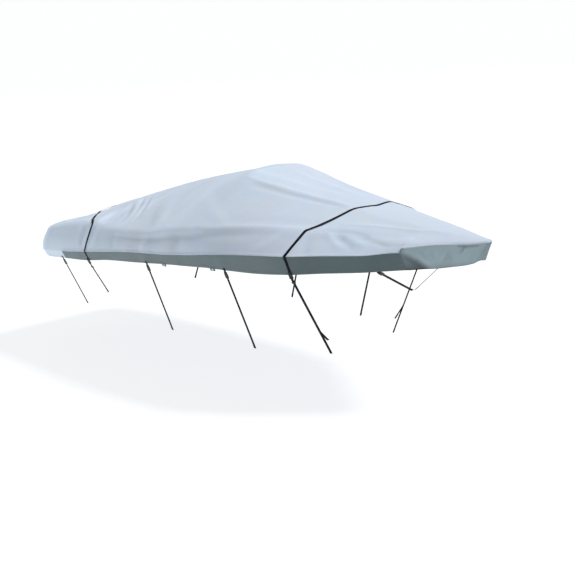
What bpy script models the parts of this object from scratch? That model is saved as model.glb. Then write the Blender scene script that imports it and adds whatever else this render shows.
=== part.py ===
"""Fitted cover of woven polyester for a small open runabout.

One draped shell of cloth stands over a cross bar at its peak, falls aft to a rounded
stern and forward to a narrow nose, and ends in a darker skirt that is drawn in at its
hem. Two webbing straps go over the top, and eight short ones hang from the hem.
Units are metres: +X to the nose, +Y to port, +Z up. The origin is the middle of the
underside of the peak, where the cover is held up.
"""

import math

import bmesh
import bpy
from mathutils import Vector
from mathutils.bvhtree import BVHTree

# ---------------------------------------------------------------- driving dimensions
CLOTH = 0.002               # thickness of the cloth
GAP = 0.0003                # left between pieces that touch
EDGE_ROUND = 0.055          # how far the rounded shoulder reaches up the roof
SHOULDER_FADE = 1.5         # it reaches up to twice as far within this length of the stern
SHOULDER_HALF = 0.12        # and half as far where the roof is only this wide
STERN_FADE = 0.65           # the rows of cloth straighten within this length of the stern
NOSE_FADE = 0.40            # and close up to the nose within this one
SKIRT_FROM = 0.65           # the skirt starts here, and aft of it the roof cloth reaches the hem
SKIRT_NOTCH = 4.76          # the side skirt ends here in a notch, and the nose skirt starts
SKIRT_JOINT = 0.0004        # each skirt stops this far short of that place
NOSE_PAST = 0.005           # the seam goes round the nose this far past the last section

# How the lines round the cover end: how far in from the stern face and from the nose
# each one stands, and the plan radius of its corners there.
ENDS = {
    # line: (in from stern, in from nose, stern radius, nose radius)
    "roof": (0.210, 0.031, 0.22, 0.018),
    "edge": (0.055, 0.014, 0.29, 0.027),
    "seam": (0.000, 0.000, 0.28, 0.030),
    "hem": (0.035, 0.083, 0.25, 0.021),
}

# The wall between shoulder and seam
RINGS = 5                   # levels of the wall, from the roof down to the seam
SHOULDER_RINGS = 3          # those that make the shoulder
WALL_TOP = 0.30             # the shoulder has turned down this far along the wall
WALL_BULGE = 0.007          # the wall swells this much between shoulder and seam
STERN_BULGE = 0.016         # and this much at the stern
BULGE_FADE = 1.2            # the larger swelling dies out over this length
BULGE_HALF = 0.3            # and the swelling is less where the cover is narrower than this

# Sections from the stern face to the nose. "along" is measured from the stern face and
# "up" from the hem at the stern; each "half" is a half width. The seam joins roof and
# skirt, the edge is the shoulder where the roof turns down, and the crown is the crease
# on each side of the flat middle of the roof.
COLUMNS = ("along", "seam_half", "seam_up", "edge_half", "edge_up",
           "crown_half", "crown_up", "ridge_up", "hem_half", "hem_up")
SECTIONS = (
    (0.00, 1.000, 0.080, 0.950, 0.330, 0.450, 0.345, 0.352, 0.955, 0.000),
    (0.30, 1.020, 0.090, 0.945, 0.345, 0.450, 0.385, 0.402, 0.975, 0.010),
    (0.65, 1.048, 0.112, 0.942, 0.395, 0.430, 0.478, 0.510, 1.003, 0.030),
    (1.05, 1.070, 0.148, 0.948, 0.422, 0.420, 0.578, 0.628, 1.028, 0.052),
    (1.50, 1.088, 0.192, 0.980, 0.405, 0.410, 0.675, 0.733, 1.045, 0.100),
    (2.00, 1.098, 0.236, 1.008, 0.428, 0.400, 0.778, 0.835, 1.055, 0.130),
    (2.50, 1.098, 0.262, 1.008, 0.485, 0.392, 0.872, 0.918, 1.050, 0.160),
    (2.78, 1.096, 0.285, 1.004, 0.510, 0.390, 0.925, 0.964, 1.045, 0.172),
    (2.90, 1.092, 0.295, 1.000, 0.520, 0.390, 0.942, 0.985, 1.040, 0.178),
    (3.04, 1.086, 0.310, 0.985, 0.530, 0.385, 0.900, 0.948, 1.030, 0.182),
    (3.50, 1.045, 0.345, 0.880, 0.555, 0.340, 0.786, 0.810, 0.985, 0.180),
    (3.92, 0.980, 0.362, 0.725, 0.542, 0.262, 0.706, 0.724, 0.915, 0.197),
    (4.22, 0.825, 0.370, 0.560, 0.522, 0.226, 0.642, 0.656, 0.765, 0.214),
    (4.52, 0.650, 0.372, 0.470, 0.485, 0.185, 0.588, 0.598, 0.590, 0.224),
    (4.76, 0.460, 0.405, 0.405, 0.450, 0.150, 0.548, 0.556, 0.390, 0.234),
    (5.00, 0.260, 0.435, 0.235, 0.455, 0.100, 0.508, 0.515, 0.230, 0.248),
    (5.20, 0.120, 0.435, 0.105, 0.455, 0.045, 0.477, 0.481, 0.080, 0.279),
    (5.30, 0.045, 0.448, 0.040, 0.458, 0.015, 0.464, 0.465, 0.032, 0.420),
)
LENGTH = SECTIONS[-1][0]
HELD_ALONG, HELD_UP = 2.90, 0.9816      # the point under the peak that carries the cover

# How softly the crown folds: nearly round aft, a real crease forward of the peak.
CROWN_SOFT = ((2.3, 0.25), (3.0, 0.06), (3.6, 0.04), (5.3, 0.015))

# Folds of the cloth on each side: where one starts, where it ends (along, half width),
# how wide it is and how far it stands up; a trough is negative.
FOLDS = (
    # from along, half, to along, half, width, height
    (0.98, 0.99, 0.78, 0.12, 0.060, 0.011),
    (1.06, 0.99, 1.10, 0.22, 0.055, -0.010),
    (1.12, 1.00, 1.38, 0.30, 0.060, 0.012),
    (1.18, 1.01, 1.66, 0.42, 0.065, -0.007),
    (1.62, 1.02, 1.78, 0.45, 0.070, 0.006),
    (2.02, 1.04, 2.22, 0.36, 0.090, -0.006),
    (2.46, 1.05, 2.60, 0.40, 0.090, 0.005),
    (2.90, 0.30, 3.70, 0.08, 0.050, 0.006),
    (3.10, 0.90, 4.40, 0.47, 0.070, -0.006),
    (3.45, 0.99, 4.05, 0.62, 0.060, 0.007),
    (4.10, 0.70, 4.62, 0.40, 0.055, -0.008),
    (4.30, 0.66, 4.72, 0.36, 0.045, 0.008),
)
PORT_FOLD = 0.6             # the folds are this much as high on the port side
FOLD_END = 0.18             # a fold dies out over this length

# Puckers of the skirt: place along, width along and how far it stands out.
PUCKERS = (
    (0.95, 0.10, 0.004),
    (1.55, 0.14, -0.004),
    (2.17, 0.07, 0.005),
    (2.75, 0.12, -0.004),
    (3.25, 0.07, 0.005),
    (3.62, 0.10, -0.004),
    (4.62, 0.06, -0.008),
    (4.80, 0.045, 0.012),
    (4.90, 0.040, -0.010),
    (5.00, 0.040, 0.012),
    (5.12, 0.035, -0.008),
    (5.22, 0.030, 0.007),
)
PUCKER_FROM = 2.4           # puckers stand out from this place on the middle line
PUCKER_SQUASH = 2.2         # and more to the side than to the ends

# Webbing and its hardware
WEB_WIDE, WEB_THICK = 0.025, 0.0016
WEB_CLEAR = 0.0012          # the webbing lies this far off the cloth
INNER_CLEAR = 0.0020        # and this far where it starts inside the skirt
SEAT = 0.0004               # and this far where it is sewn on
OVER_STEP = 0.090           # length between the sections of a strap over the top
OVER_RAYS = 220             # places at which its route is looked for
OVER_CENTRE = 0.03          # they are looked for from this far above the seam
OVER_END = 0.034            # a strap over the top ends this far above the hem
OVER_LEAD = 0.012           # its last length rises to the middle of the buckle's end
# Straps over the top: the place along the cover at the sides, how far the strap has
# slid towards the stern at the ridge, how it bows (1 is a straight slant to the ridge,
# 2 a round bow) and the foot (along, half width, up).
OVER = (
    # name, along, slid, bow, foot along, foot half, foot up
    ("aft", 1.14, 0.42, 3.0, 1.12, 0.820, -0.318),
    ("fore", 3.96, -0.20, 1.0, 3.92, 0.420, -0.600),
)
# The part of such a strap under its buckle
TIE_BEND, TIE_TURN = 0.006, 0.010       # it bends here, and is straight this far on
TIE_SLIDE = 0.040                       # its slide sits this far past the bend
# The spare end that parts from one of them: which, how high it leaves it, and its tip
SPARE = ("fore", -0.365)
SPARE_TIP = (3.92, 0.452, -0.470)       # along, half width, up
# Straps that hang from the hem: its place along, and the foot (along, half width, up).
HANGING = (
    # name, along, foot along, foot half, foot up
    ("stern", 0.59, 0.59, 0.750, -0.520),
    ("mid", 2.17, 2.17, 0.815, -0.565),
    ("fore_mid", 3.25, 3.25, 0.715, -0.595),
    ("nose", 4.59, 4.525, 0.020, -0.035),
)
SEWN_END, SEWN_STEP = 0.038, 0.004      # doubled end of each strap, and its step
# The sewn-on piece above each hanging strap, measured from the hem
ANCHOR_TOP, ANCHOR_LOW = 0.022, 0.006   # its upper end, and where it leaves the cloth
ANCHOR_BEND, ANCHOR_END = 0.009, 0.014  # it turns to its strap here, and ends this far on

BUCKLE_LONG, BUCKLE_WIDE, BUCKLE_THICK = 0.062, 0.034, 0.010
BUCKLE_OUTLINE = (
    # share of the length, share of the half width
    (0.00, 0.80), (0.06, 0.90), (0.30, 0.90), (0.36, 1.00), (0.62, 1.00),
    (0.70, 0.82), (0.80, 0.82), (0.86, 0.94), (0.97, 0.94), (1.00, 0.84),
)
BUCKLE_LAYERS = (
    # share of the thickness, share of the outline
    (0.0, 0.84), (0.3, 1.0), (0.7, 1.0), (1.0, 0.84),
)
SLIDE_TALL, SLIDE_WIDE, SLIDE_THICK, SLIDE_BAR = 0.016, 0.036, 0.007, 0.0022

# Eyelet tabs on the hem: place along the cover
TAB_ALONG = (2.43, 3.10)
TAB_LONG, TAB_TALL, TAB_THICK = 0.062, 0.034, 0.0030
TAB_DOWN = 0.007            # the middle of a tab is this far below the hem
TAB_SQUARE = 0.45           # 1 would be an ellipse, 0 a rectangle
EYELET_OUTER, EYELET_HOLE, EYELET_THICK = 0.0115, 0.0060, 0.0014
EYELET_DOWN = 0.004         # the hole is this far below the middle of the tab
HOLE_MARGIN = 0.0008        # the hole in the tab is this much wider, in radius

# Number of rows and columns of cloth
ROWS = (0.0, 0.06, 0.14, 0.23, 0.33, 0.44, 0.55, 0.65, 0.75, 0.84, 0.92, 1.00, 1.08, 1.16,
        1.25, 1.35, 1.47, 1.60, 1.74, 1.88, 2.02, 2.17, 2.32, 2.46, 2.60, 2.72, 2.81, 2.87,
        2.92, 2.98, 3.06, 3.18, 3.33, 3.50, 3.66, 3.80, 3.92, 4.03, 4.14, 4.26, 4.39, 4.52,
        4.64, 4.76, 4.88, 5.00, 5.10, 5.20)
MIDDLE_COLUMNS, SIDE_COLUMNS = 4, 8     # from the ridge to the crown, and on to the edge
CROWN_MOST = 0.72           # the crown's column stays within this share of the width
SKIRT_LEVELS = (0.0, 0.35, 0.72, 1.0)   # levels of the skirt, as shares of the way down
STERN_LEVELS = (0.5, 1.0)               # and of the stern cloth under the seam's height


def clear_scene():
    for obj in list(bpy.data.objects):
        bpy.data.objects.remove(obj)


def material(name, colour, roughness, metallic=0.0):
    mat = bpy.data.materials.new(name)
    mat.use_nodes = True
    shader = mat.node_tree.nodes["Principled BSDF"]
    shader.inputs["Base Color"].default_value = (*colour, 1.0)
    shader.inputs["Roughness"].default_value = roughness
    shader.inputs["Metallic"].default_value = metallic
    return mat


# ---------------------------------------------------------------- shape of the cover
def steady_slopes(xs, ys):
    """Slopes at the points of a curve that never swings past its own values."""
    rises = [(b - a) / (q - p) for p, q, a, b in zip(xs, xs[1:], ys, ys[1:])]
    slopes = [rises[0]]
    for k in range(1, len(rises)):
        before, after = rises[k - 1], rises[k]
        if before * after <= 0:
            slopes.append(0.0)
            continue
        left, right = xs[k] - xs[k - 1], xs[k + 1] - xs[k]
        first, second = 2 * right + left, right + 2 * left
        slopes.append((first + second) / (first / before + second / after))
    return slopes + [rises[-1]]


PLACES = [row[0] for row in SECTIONS]
CURVES = {name: [row[k] for row in SECTIONS] for k, name in enumerate(COLUMNS)}
SLOPES = {name: steady_slopes(PLACES, values) for name, values in CURVES.items()}


def section(name, along):
    """One column of the section table, read as a smooth curve."""
    along = min(max(along, PLACES[0]), PLACES[-1])
    k = max(i for i in range(len(PLACES) - 1) if PLACES[i] <= along)
    values, slopes = CURVES[name], SLOPES[name]
    step = PLACES[k + 1] - PLACES[k]
    t = (along - PLACES[k]) / step
    start = (1 + 2 * t) * (1 - t) ** 2 * values[k] + t * (1 - t) ** 2 * step * slopes[k]
    end = t * t * (3 - 2 * t) * values[k + 1] - t * t * (1 - t) * step * slopes[k + 1]
    return start + end


def between(table, at):
    """Straight lines through the (place, value) pairs of a short table."""
    for (a, low), (b, high) in zip(table, table[1:]):
        if at < b:
            return low + (high - low) * max(0.0, at - a) / (b - a)
    return table[-1][1]


def roof_up(along, half):
    """Height of the smooth roof: a shallow arch to the crown, then a straight fall."""
    half = abs(half)
    crown, crown_up = section("crown_half", along), section("crown_up", along)
    ridge_up = section("ridge_up", along)
    edge, edge_up = section("edge_half", along), section("edge_up", along)
    soft = between(CROWN_SOFT, along) * min(1.0, half / between(CROWN_SOFT, along))
    total = 0.0
    for step in (-1.0, -0.5, 0.0, 0.5, 1.0):
        at = abs(half + step * soft)
        if at < crown:
            total += ridge_up + (crown_up - ridge_up) * (at / crown) ** 2
        else:
            total += crown_up + (edge_up - crown_up) * (at - crown) / (edge - crown)
    return total / 5


def fold_height(along, half):
    """How far the folds lift the cloth at a place, starboard side (half < 0) in full."""
    total = 0.0
    for x0, y0, x1, y1, width, height in FOLDS:
        dx, dy = x1 - x0, y1 - y0
        length = math.hypot(dx, dy)
        px, py = along - x0, abs(half) - y0
        run = (px * dx + py * dy) / length
        off = (px * dy - py * dx) / length
        beyond = max(0.0, -run, run - length)
        if beyond < FOLD_END:
            ending = 0.5 + 0.5 * math.cos(math.pi * beyond / FOLD_END)
            total += height * ending * math.exp(-(off / width) ** 2)
    return total * (1.0 if half < 0 else PORT_FOLD)


# ---------------------------------------------------------------- the lines round the cover
LAST_ROW = ROWS[-1]
CORNER = 1 - math.sqrt(0.5)     # how far a quarter round stands in at its middle


def edge_inset(along):
    """How far in from the edge line the roof starts to turn down."""
    wide = section("edge_half", along)
    aft = max(0.0, 1.0 - along / SHOULDER_FADE)
    return EDGE_ROUND * (1 + aft) * wide / (wide + SHOULDER_HALF)


def line_half(line, along):
    """Half width at a line, before its corners are rounded."""
    if line == "roof":
        return section("edge_half", along) - edge_inset(along)
    return section(f"{line}_half", along)


def line_ends(line):
    """Stern end, nose end, stern radius and nose radius of a line."""
    stern_in, nose_in, stern_radius, nose_radius = ENDS[line]
    return stern_in, LENGTH + NOSE_PAST - nose_in, stern_radius, nose_radius


def quarter(depth, radius):
    """How far a rounded corner stands in, this far from the end that it rounds."""
    short = max(0.0, radius - depth)
    return radius - math.sqrt(max(0.0, radius ** 2 - short ** 2))


def row_place(line, row):
    """Where a row of cloth meets a line at the side of the cover."""
    stern, nose, stern_radius, nose_radius = line_ends(line)
    first = stern + CORNER * stern_radius
    last = nose - CORNER * nose_radius
    aft = max(0.0, 1.0 - row / STERN_FADE)
    fore = max(0.0, 1.0 - (LAST_ROW - row) / NOSE_FADE)
    return row + first * aft + (last - LAST_ROW) * fore


def half_width(line, along):
    stern, nose, stern_radius, nose_radius = line_ends(line)
    rounded = quarter(along - stern, stern_radius) + quarter(nose - along, nose_radius)
    return line_half(line, along) - rounded


def end_bulge(line, end, half):
    """How far the stern or nose line at this half width lies past its corner points."""
    stern, nose, stern_radius, nose_radius = line_ends(line)
    radius = stern_radius if end == "stern" else nose_radius
    corner = stern + CORNER * radius if end == "stern" else nose - CORNER * radius
    straight = line_half(line, corner) - radius
    return CORNER * radius - quarter(radius - max(0.0, abs(half) - straight), radius)


def column_shares(row):
    """Share of the half width for each column: the crown falls on a column."""
    along = row_place("roof", row)
    crown = min(CROWN_MOST, section("crown_half", along) / half_width("roof", along))
    inner = [crown * k / MIDDLE_COLUMNS for k in range(MIDDLE_COLUMNS)]
    outer = [crown + (1 - crown) * k / SIDE_COLUMNS for k in range(SIDE_COLUMNS + 1)]
    return inner + outer


def line_point(line, row, column):
    """(along, half) of a row and column, on a line or, for the roof, inside it."""
    side_place = row_place(line, row)
    wide = half_width(line, side_place)
    share = column_shares(row)[abs(column)]
    half = math.copysign(share * wide, column)
    aft = max(0.0, 1.0 - row / STERN_FADE)
    fore = max(0.0, 1.0 - (LAST_ROW - row) / NOSE_FADE)
    shift = 0.0
    if aft > 0:
        scale = half_width(line, row_place(line, 0.0)) / wide
        shift -= aft * end_bulge(line, "stern", half * scale)
    if fore > 0:
        scale = half_width(line, row_place(line, LAST_ROW)) / wide
        shift += fore * end_bulge(line, "nose", half * scale)
    return side_place + shift, half


def world(along, half, up):
    return Vector((along - HELD_ALONG, half, up - HELD_UP))


# ---------------------------------------------------------------- the cloth
HALF_COLUMNS = MIDDLE_COLUMNS + SIDE_COLUMNS


def rim():
    """Row and column of each point round the cover, anticlockwise from above."""
    last = len(ROWS) - 1
    starboard = [(k, -HALF_COLUMNS) for k in range(last)]
    nose = [(last, c) for c in range(-HALF_COLUMNS, HALF_COLUMNS)]
    port = [(k, HALF_COLUMNS) for k in range(last, 0, -1)]
    stern = [(0, c) for c in range(HALF_COLUMNS, -HALF_COLUMNS, -1)]
    return starboard + nose + port + stern


def wall_point(index, column, ring):
    """A point of the wall: a soft shoulder, then a slightly swollen side."""
    row = ROWS[index]
    x0, y0 = line_point("roof", row, column)
    x1, y1 = line_point("edge", row, column)
    x2, y2 = line_point("seam", row, column)
    roof = world(x0, y0, roof_up(x0, y0))
    edge = world(x1, y1, roof_up(x1, y1))
    seam = world(x2, y2, section("seam_up", x2))
    turned = edge.lerp(seam, WALL_TOP)
    if ring <= SHOULDER_RINGS:
        t = ring / SHOULDER_RINGS
        return roof * (1 - t) ** 2 + edge * 2 * t * (1 - t) + turned * t * t
    t = (ring - SHOULDER_RINGS) / (RINGS - SHOULDER_RINGS)
    swell = max(0.0, 1.0 - x2 / BULGE_FADE) * (STERN_BULGE - WALL_BULGE) + WALL_BULGE
    outward = Vector((seam.x - edge.x, seam.y - edge.y, 0.0))
    outward.normalize()
    narrow = min(1.0, abs(seam.y) / BULGE_HALF) if x2 > BULGE_FADE else 1.0
    return turned.lerp(seam, t) + outward * swell * narrow * math.sin(math.pi * t)


def skirt_point(index, column, t):
    """A point of the skirt, t = 0 at the seam and 1 at the hem."""
    row = ROWS[index]
    x0, y0 = line_point("seam", row, column)
    x1, y1 = line_point("hem", row, column)
    seam = world(x0, y0, section("seam_up", x0))
    hem = world(x1, y1, section("hem_up", x1))
    point = seam.lerp(hem, t)
    outward = Vector((x0 - PUCKER_FROM, y0 * PUCKER_SQUASH, 0.0)).normalized()
    return point + outward * pucker(x0, y0) * math.sin(math.pi * min(1.0, t * 0.8))


def pucker(along, half):
    share = 1.0 if half < 0 else PORT_FOLD
    return share * sum(h * math.exp(-((along - x) / w) ** 2) for x, w, h in PUCKERS)


def cloth_surface(points, faces):
    """A mesh of the outer face of a piece of cloth."""
    bm = bmesh.new()
    verts = [bm.verts.new(p) for p in points]
    for face in faces:
        bm.faces.new([verts[k] for k in face])
    bm.normal_update()
    return bm


def with_thickness(name, bm, level_edge, mat):
    """The piece of cloth under an outer face; where level_edge says so, cut off level."""
    bm.verts.index_update()
    outer = [v.co.copy() for v in bm.verts]
    inner = []
    for v in bm.verts:
        normal = v.normal.copy()
        if level_edge(v.index):
            normal.z = 0.0
            normal.normalize()
        inner.append(v.co - normal * CLOTH)
    count = len(outer)
    faces = [[v.index for v in f.verts] for f in bm.faces]
    faces += [[v.index + count for v in reversed(f.verts)] for f in bm.faces]
    for edge in bm.edges:
        if edge.is_boundary:
            loop = edge.link_loops[0]
            a, b = loop.vert.index, loop.link_loop_next.vert.index
            faces.append([b, a, a + count, b + count])
    mesh = bpy.data.meshes.new(name)
    mesh.from_pydata(outer + inner, [], faces)
    mesh.materials.append(mat)
    mesh.shade_smooth()
    mesh.set_sharp_from_angle(angle=math.radians(40))
    obj = bpy.data.objects.new(name, mesh)
    bpy.context.collection.objects.link(obj)
    return obj


def build_roof(mat):
    """The roof and wall in one piece, with the stern cloth that reaches the hem."""
    last = len(ROWS) - 1
    points, loose, grid = [], [], {}
    for i, row in enumerate(ROWS):
        for column in range(-HALF_COLUMNS, HALF_COLUMNS + 1):
            along, half = line_point("roof", row, column)
            grid[i, column] = len(points)
            points.append(world(along, half, roof_up(along, half)))
            loose.append(1.0)
    faces = []
    for i in range(last):
        for c in range(-HALF_COLUMNS, HALF_COLUMNS):
            faces.append([grid[i, c], grid[i + 1, c], grid[i + 1, c + 1], grid[i, c + 1]])

    loop = rim()
    above = [grid[key] for key in loop]
    for ring in range(1, RINGS + 1):
        below = list(range(len(points), len(points) + len(loop)))
        points += [wall_point(i, c, ring) for i, c in loop]
        loose += [1.0 - ring / RINGS] * len(loop)
        for k in range(len(loop)):
            n = (k + 1) % len(loop)
            faces.append([below[k], below[n], above[n], above[k]])
        above = below

    first_skirt = ROWS.index(SKIRT_FROM)
    stern = [k for k, (i, c) in enumerate(loop) if i <= first_skirt]
    start = next(k for k in stern if k - 1 not in stern and k > 0)
    stern = stern[stern.index(start):] + stern[:stern.index(start)]
    upper = [above[k] for k in stern]
    for t in STERN_LEVELS:
        lower = list(range(len(points), len(points) + len(stern)))
        points += [skirt_point(*loop[k], t) for k in stern]
        loose += [0.0] * len(stern)
        for k in range(len(stern) - 1):
            faces.append([lower[k], lower[k + 1], upper[k + 1], upper[k]])
        upper = lower

    bm = cloth_surface(points, faces)
    bm.verts.ensure_lookup_table()
    moves = []
    for v, weight in zip(bm.verts, loose):
        lift = fold_height(v.co.x + HELD_ALONG, v.co.y) * weight if weight else 0.0
        moves.append(v.normal * lift)
    for v, move in zip(bm.verts, moves):
        v.co += move
    bmesh.ops.triangulate(bm, faces=bm.faces[:])
    bm.normal_update()
    lower_edge = {v.index for v in bm.verts if v.is_boundary}
    return bm, with_thickness("roof_panel", bm, lambda k: k in lower_edge, mat)


def build_skirt(name, keys, mat):
    """A length of skirt under the seam, from one row and column to another."""
    points, faces = [], []
    for t in SKIRT_LEVELS:
        for i, c in keys:
            points.append(skirt_point(i, c, t) - Vector((0.0, 0.0, GAP)))
    count = len(keys)
    for level in range(len(SKIRT_LEVELS) - 1):
        for k in range(count - 1):
            high, low = level * count + k, (level + 1) * count + k
            faces.append([low, low + 1, high + 1, high])
    for level in range(len(SKIRT_LEVELS)):
        for end, inner in ((0, 1), (count - 1, count - 2)):
            a, b = points[level * count + end], points[level * count + inner]
            points[level * count + end] = a + (b - a).normalized() * SKIRT_JOINT
    bm = cloth_surface(points, faces)
    bmesh.ops.triangulate(bm, faces=bm.faces[:])
    bm.normal_update()
    ends = set(range(count)) | set(range(len(points) - count, len(points)))
    return bm, with_thickness(name, bm, lambda k: k in ends, mat)


# ---------------------------------------------------------------- webbing
class Frame:
    """One cross-section of a strap: its middle, its outward face and its width."""

    def __init__(self, place, out, side):
        self.place, self.out, self.side = place, out, side


def cloth_above(tree, place, out, reach=0.12):
    """How far the cloth stands out past a place, along the outward direction."""
    hit, _, _, distance = tree.ray_cast(place + out * reach, -out, reach * 1.6)
    return reach - distance if hit else -1.0


def lay_off_cloth(tree, frames, clear=SEAT):
    """Lift the frames until the strap between them is clear of the cloth."""
    for _ in range(8):
        lifts = [0.0] * len(frames)
        for k in range(len(frames) - 1):
            a, b = frames[k], frames[k + 1]
            for step in range(17):
                t = step / 16
                out = a.out.lerp(b.out, t).normalized()
                for across in range(-4, 5):
                    place = a.place.lerp(b.place, t)
                    place += a.side.lerp(b.side, t) * across / 8 * WEB_WIDE
                    short = cloth_above(tree, place, out) + clear
                    if short > 0:
                        lifts[k] = max(lifts[k], short)
                        lifts[k + 1] = max(lifts[k + 1], short)
        for frame, lift in zip(frames, lifts):
            frame.place = frame.place + frame.out * lift
    return frames


def mesh_object(name, points, faces, mat, smooth=30.0):
    mesh = bpy.data.meshes.new(name)
    mesh.from_pydata(points, [], faces)
    mesh.materials.append(mat)
    mesh.shade_smooth()
    mesh.set_sharp_from_angle(angle=math.radians(smooth))
    obj = bpy.data.objects.new(name, mesh)
    bpy.context.collection.objects.link(obj)
    return obj


def ribbon(name, frames, mat, thick=None):
    """A flat strap through its frames; thick gives the thickness at each of them."""
    thick = thick or [WEB_THICK] * len(frames)
    points, faces = [], []
    for frame, depth in zip(frames, thick):
        for side, out in ((-1, 0), (1, 0), (1, 1), (-1, 1)):
            points.append(frame.place + frame.side * side * WEB_WIDE / 2 + frame.out * out * depth)
    for k in range(len(frames) - 1):
        a, b = 4 * k, 4 * k + 4
        for c in range(4):
            n = (c + 1) % 4
            faces.append([a + c, b + c, b + n, a + n])
    end = 4 * (len(frames) - 1)
    faces += [[0, 1, 2, 3], [end + 3, end + 2, end + 1, end]]
    obj = mesh_object(name, points, faces, mat)
    bm = bmesh.new()
    bm.from_mesh(obj.data)
    bmesh.ops.recalc_face_normals(bm, faces=bm.faces[:])
    bm.to_mesh(obj.data)
    bm.free()
    return obj


def over_route(tree, along, slid, bow):
    """Frames of a strap pulled tight over the cover, starboard to port."""
    low = section("hem_up", along) + OVER_END
    centre_up = section("seam_up", along) + OVER_CENTRE
    edge = section("edge_half", along)
    below = math.asin((centre_up - low) / section("seam_half", along))
    samples = []
    for k in range(OVER_RAYS + 1):
        angle = -below + (math.pi + 2 * below) * k / OVER_RAYS
        ray = Vector((0.0, -math.cos(angle), math.sin(angle)))
        x = along
        for _ in range(3):
            centre = world(x, 0.0, centre_up)
            hit, normal, _, _ = tree.ray_cast(centre + ray * 3.0, -ray)
            inward = min(1.0, max(0.0, 1.0 - abs(hit.y) / edge))
            x = along - slid * (1 - (1 - inward) ** bow)
        samples.append((hit, normal))
    taut = []
    for k, (point, _) in enumerate(samples):
        while len(taut) > 1:
            a, b = samples[taut[-2]][0], samples[taut[-1]][0]
            turn = (b.y - a.y) * (point.z - b.z) - (b.z - a.z) * (point.y - b.y)
            if turn < -1e-9:
                break
            taut.pop()
        taut.append(k)
    places = []
    for k, following in zip(taut, taut[1:]):
        a, b = samples[k][0], samples[following][0]
        parts = max(1, math.ceil((b - a).length / OVER_STEP))
        for part in range(parts):
            near = round(k + (following - k) * part / parts)
            place = a.lerp(b, part / parts)
            place.x = samples[near][0].x
            if not places or (place - places[-1][0]).length > OVER_STEP / 6:
                places.append((place, near))
    places[-1] = (samples[taut[-1]][0].copy(), taut[-1])
    frames = []
    for n, (here, k) in enumerate(places):
        before, after = places[max(0, n - 1)][0], places[min(len(places) - 1, n + 1)][0]
        tangent = ((here - before).normalized() + (after - here).normalized()).normalized()
        near = samples[max(0, k - 3):k + 4]
        out = sum((normal for _, normal in near), Vector()).normalized()
        side = tangent.cross(out).normalized()
        frames.append(Frame(here.copy(), side.cross(tangent).normalized(), side))
    for frame in frames:
        frame.place = frame.place + frame.out * WEB_CLEAR
    return lay_off_cloth(tree, frames)


def straight_strap(start, foot, out, side):
    """Frames of a strap pulled straight from a buckle to its foot, with a sewn end."""
    down = (foot - start).normalized()
    side = (side - down * side.dot(down)).normalized()
    out_ward = side.cross(down).normalized()
    if out_ward.dot(out) < 0:
        out_ward = -out_ward
    length = (foot - start).length
    stops = (0.0, length / 2, length - SEWN_END - SEWN_STEP, length - SEWN_END, length)
    thick = [WEB_THICK] * 3 + [2 * WEB_THICK] * 2
    return [Frame(start + down * s, out_ward, side) for s in stops], thick


def buckle(name, start, down, out, side, mat):
    """A clipped side-release buckle: waisted outline, its faces rounded off."""
    outline = [(v * BUCKLE_LONG, u * BUCKLE_WIDE / 2) for v, u in BUCKLE_OUTLINE]
    outline = outline + [(v, -u) for v, u in reversed(outline)]
    points, faces = [], []
    middle = BUCKLE_LONG / 2
    for depth, scale in BUCKLE_LAYERS:
        for v, u in outline:
            v_in = middle + (v - middle) * (1 - (1 - scale) * BUCKLE_WIDE / BUCKLE_LONG)
            place = start + down * v_in + side * u * scale
            points.append(place + out * BUCKLE_THICK * depth)
    count = len(outline)
    for layer in range(len(BUCKLE_LAYERS) - 1):
        for k in range(count):
            n = (k + 1) % count
            a, b = layer * count, (layer + 1) * count
            faces.append([a + k, a + n, b + n, b + k])
    faces.append(list(range(count)))
    faces.append(list(range(len(points) - 1, len(points) - count - 1, -1)))
    return closed_outwards(mesh_object(name, points, faces, mat))


def closed_outwards(obj):
    bm = bmesh.new()
    bm.from_mesh(obj.data)
    bmesh.ops.recalc_face_normals(bm, faces=bm.faces[:])
    bm.to_mesh(obj.data)
    bm.free()
    return obj


def slide(name, middle, down, out, side, mat):
    """A flat frame that keeps two plies of webbing together; the strap runs through it."""
    points, faces = [], []
    wide, deep = SLIDE_WIDE / 2, SLIDE_THICK / 2
    shapes = ((wide, deep), (wide - SLIDE_BAR * 2, deep - SLIDE_BAR))
    for end in (-0.5, 0.5):
        for u, w in shapes:
            for su, sw in ((-1, -1), (1, -1), (1, 1), (-1, 1)):
                points.append(middle + down * SLIDE_TALL * end + side * u * su + out * w * sw)
    for k in range(4):
        n = (k + 1) % 4
        faces.append([k, n, 8 + n, 8 + k])
        faces.append([4 + n, 4 + k, 12 + k, 12 + n])
        faces.append([n, k, 4 + k, 4 + n])
        faces.append([8 + k, 8 + n, 12 + n, 12 + k])
    return closed_outwards(mesh_object(name, points, faces, mat))


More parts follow.
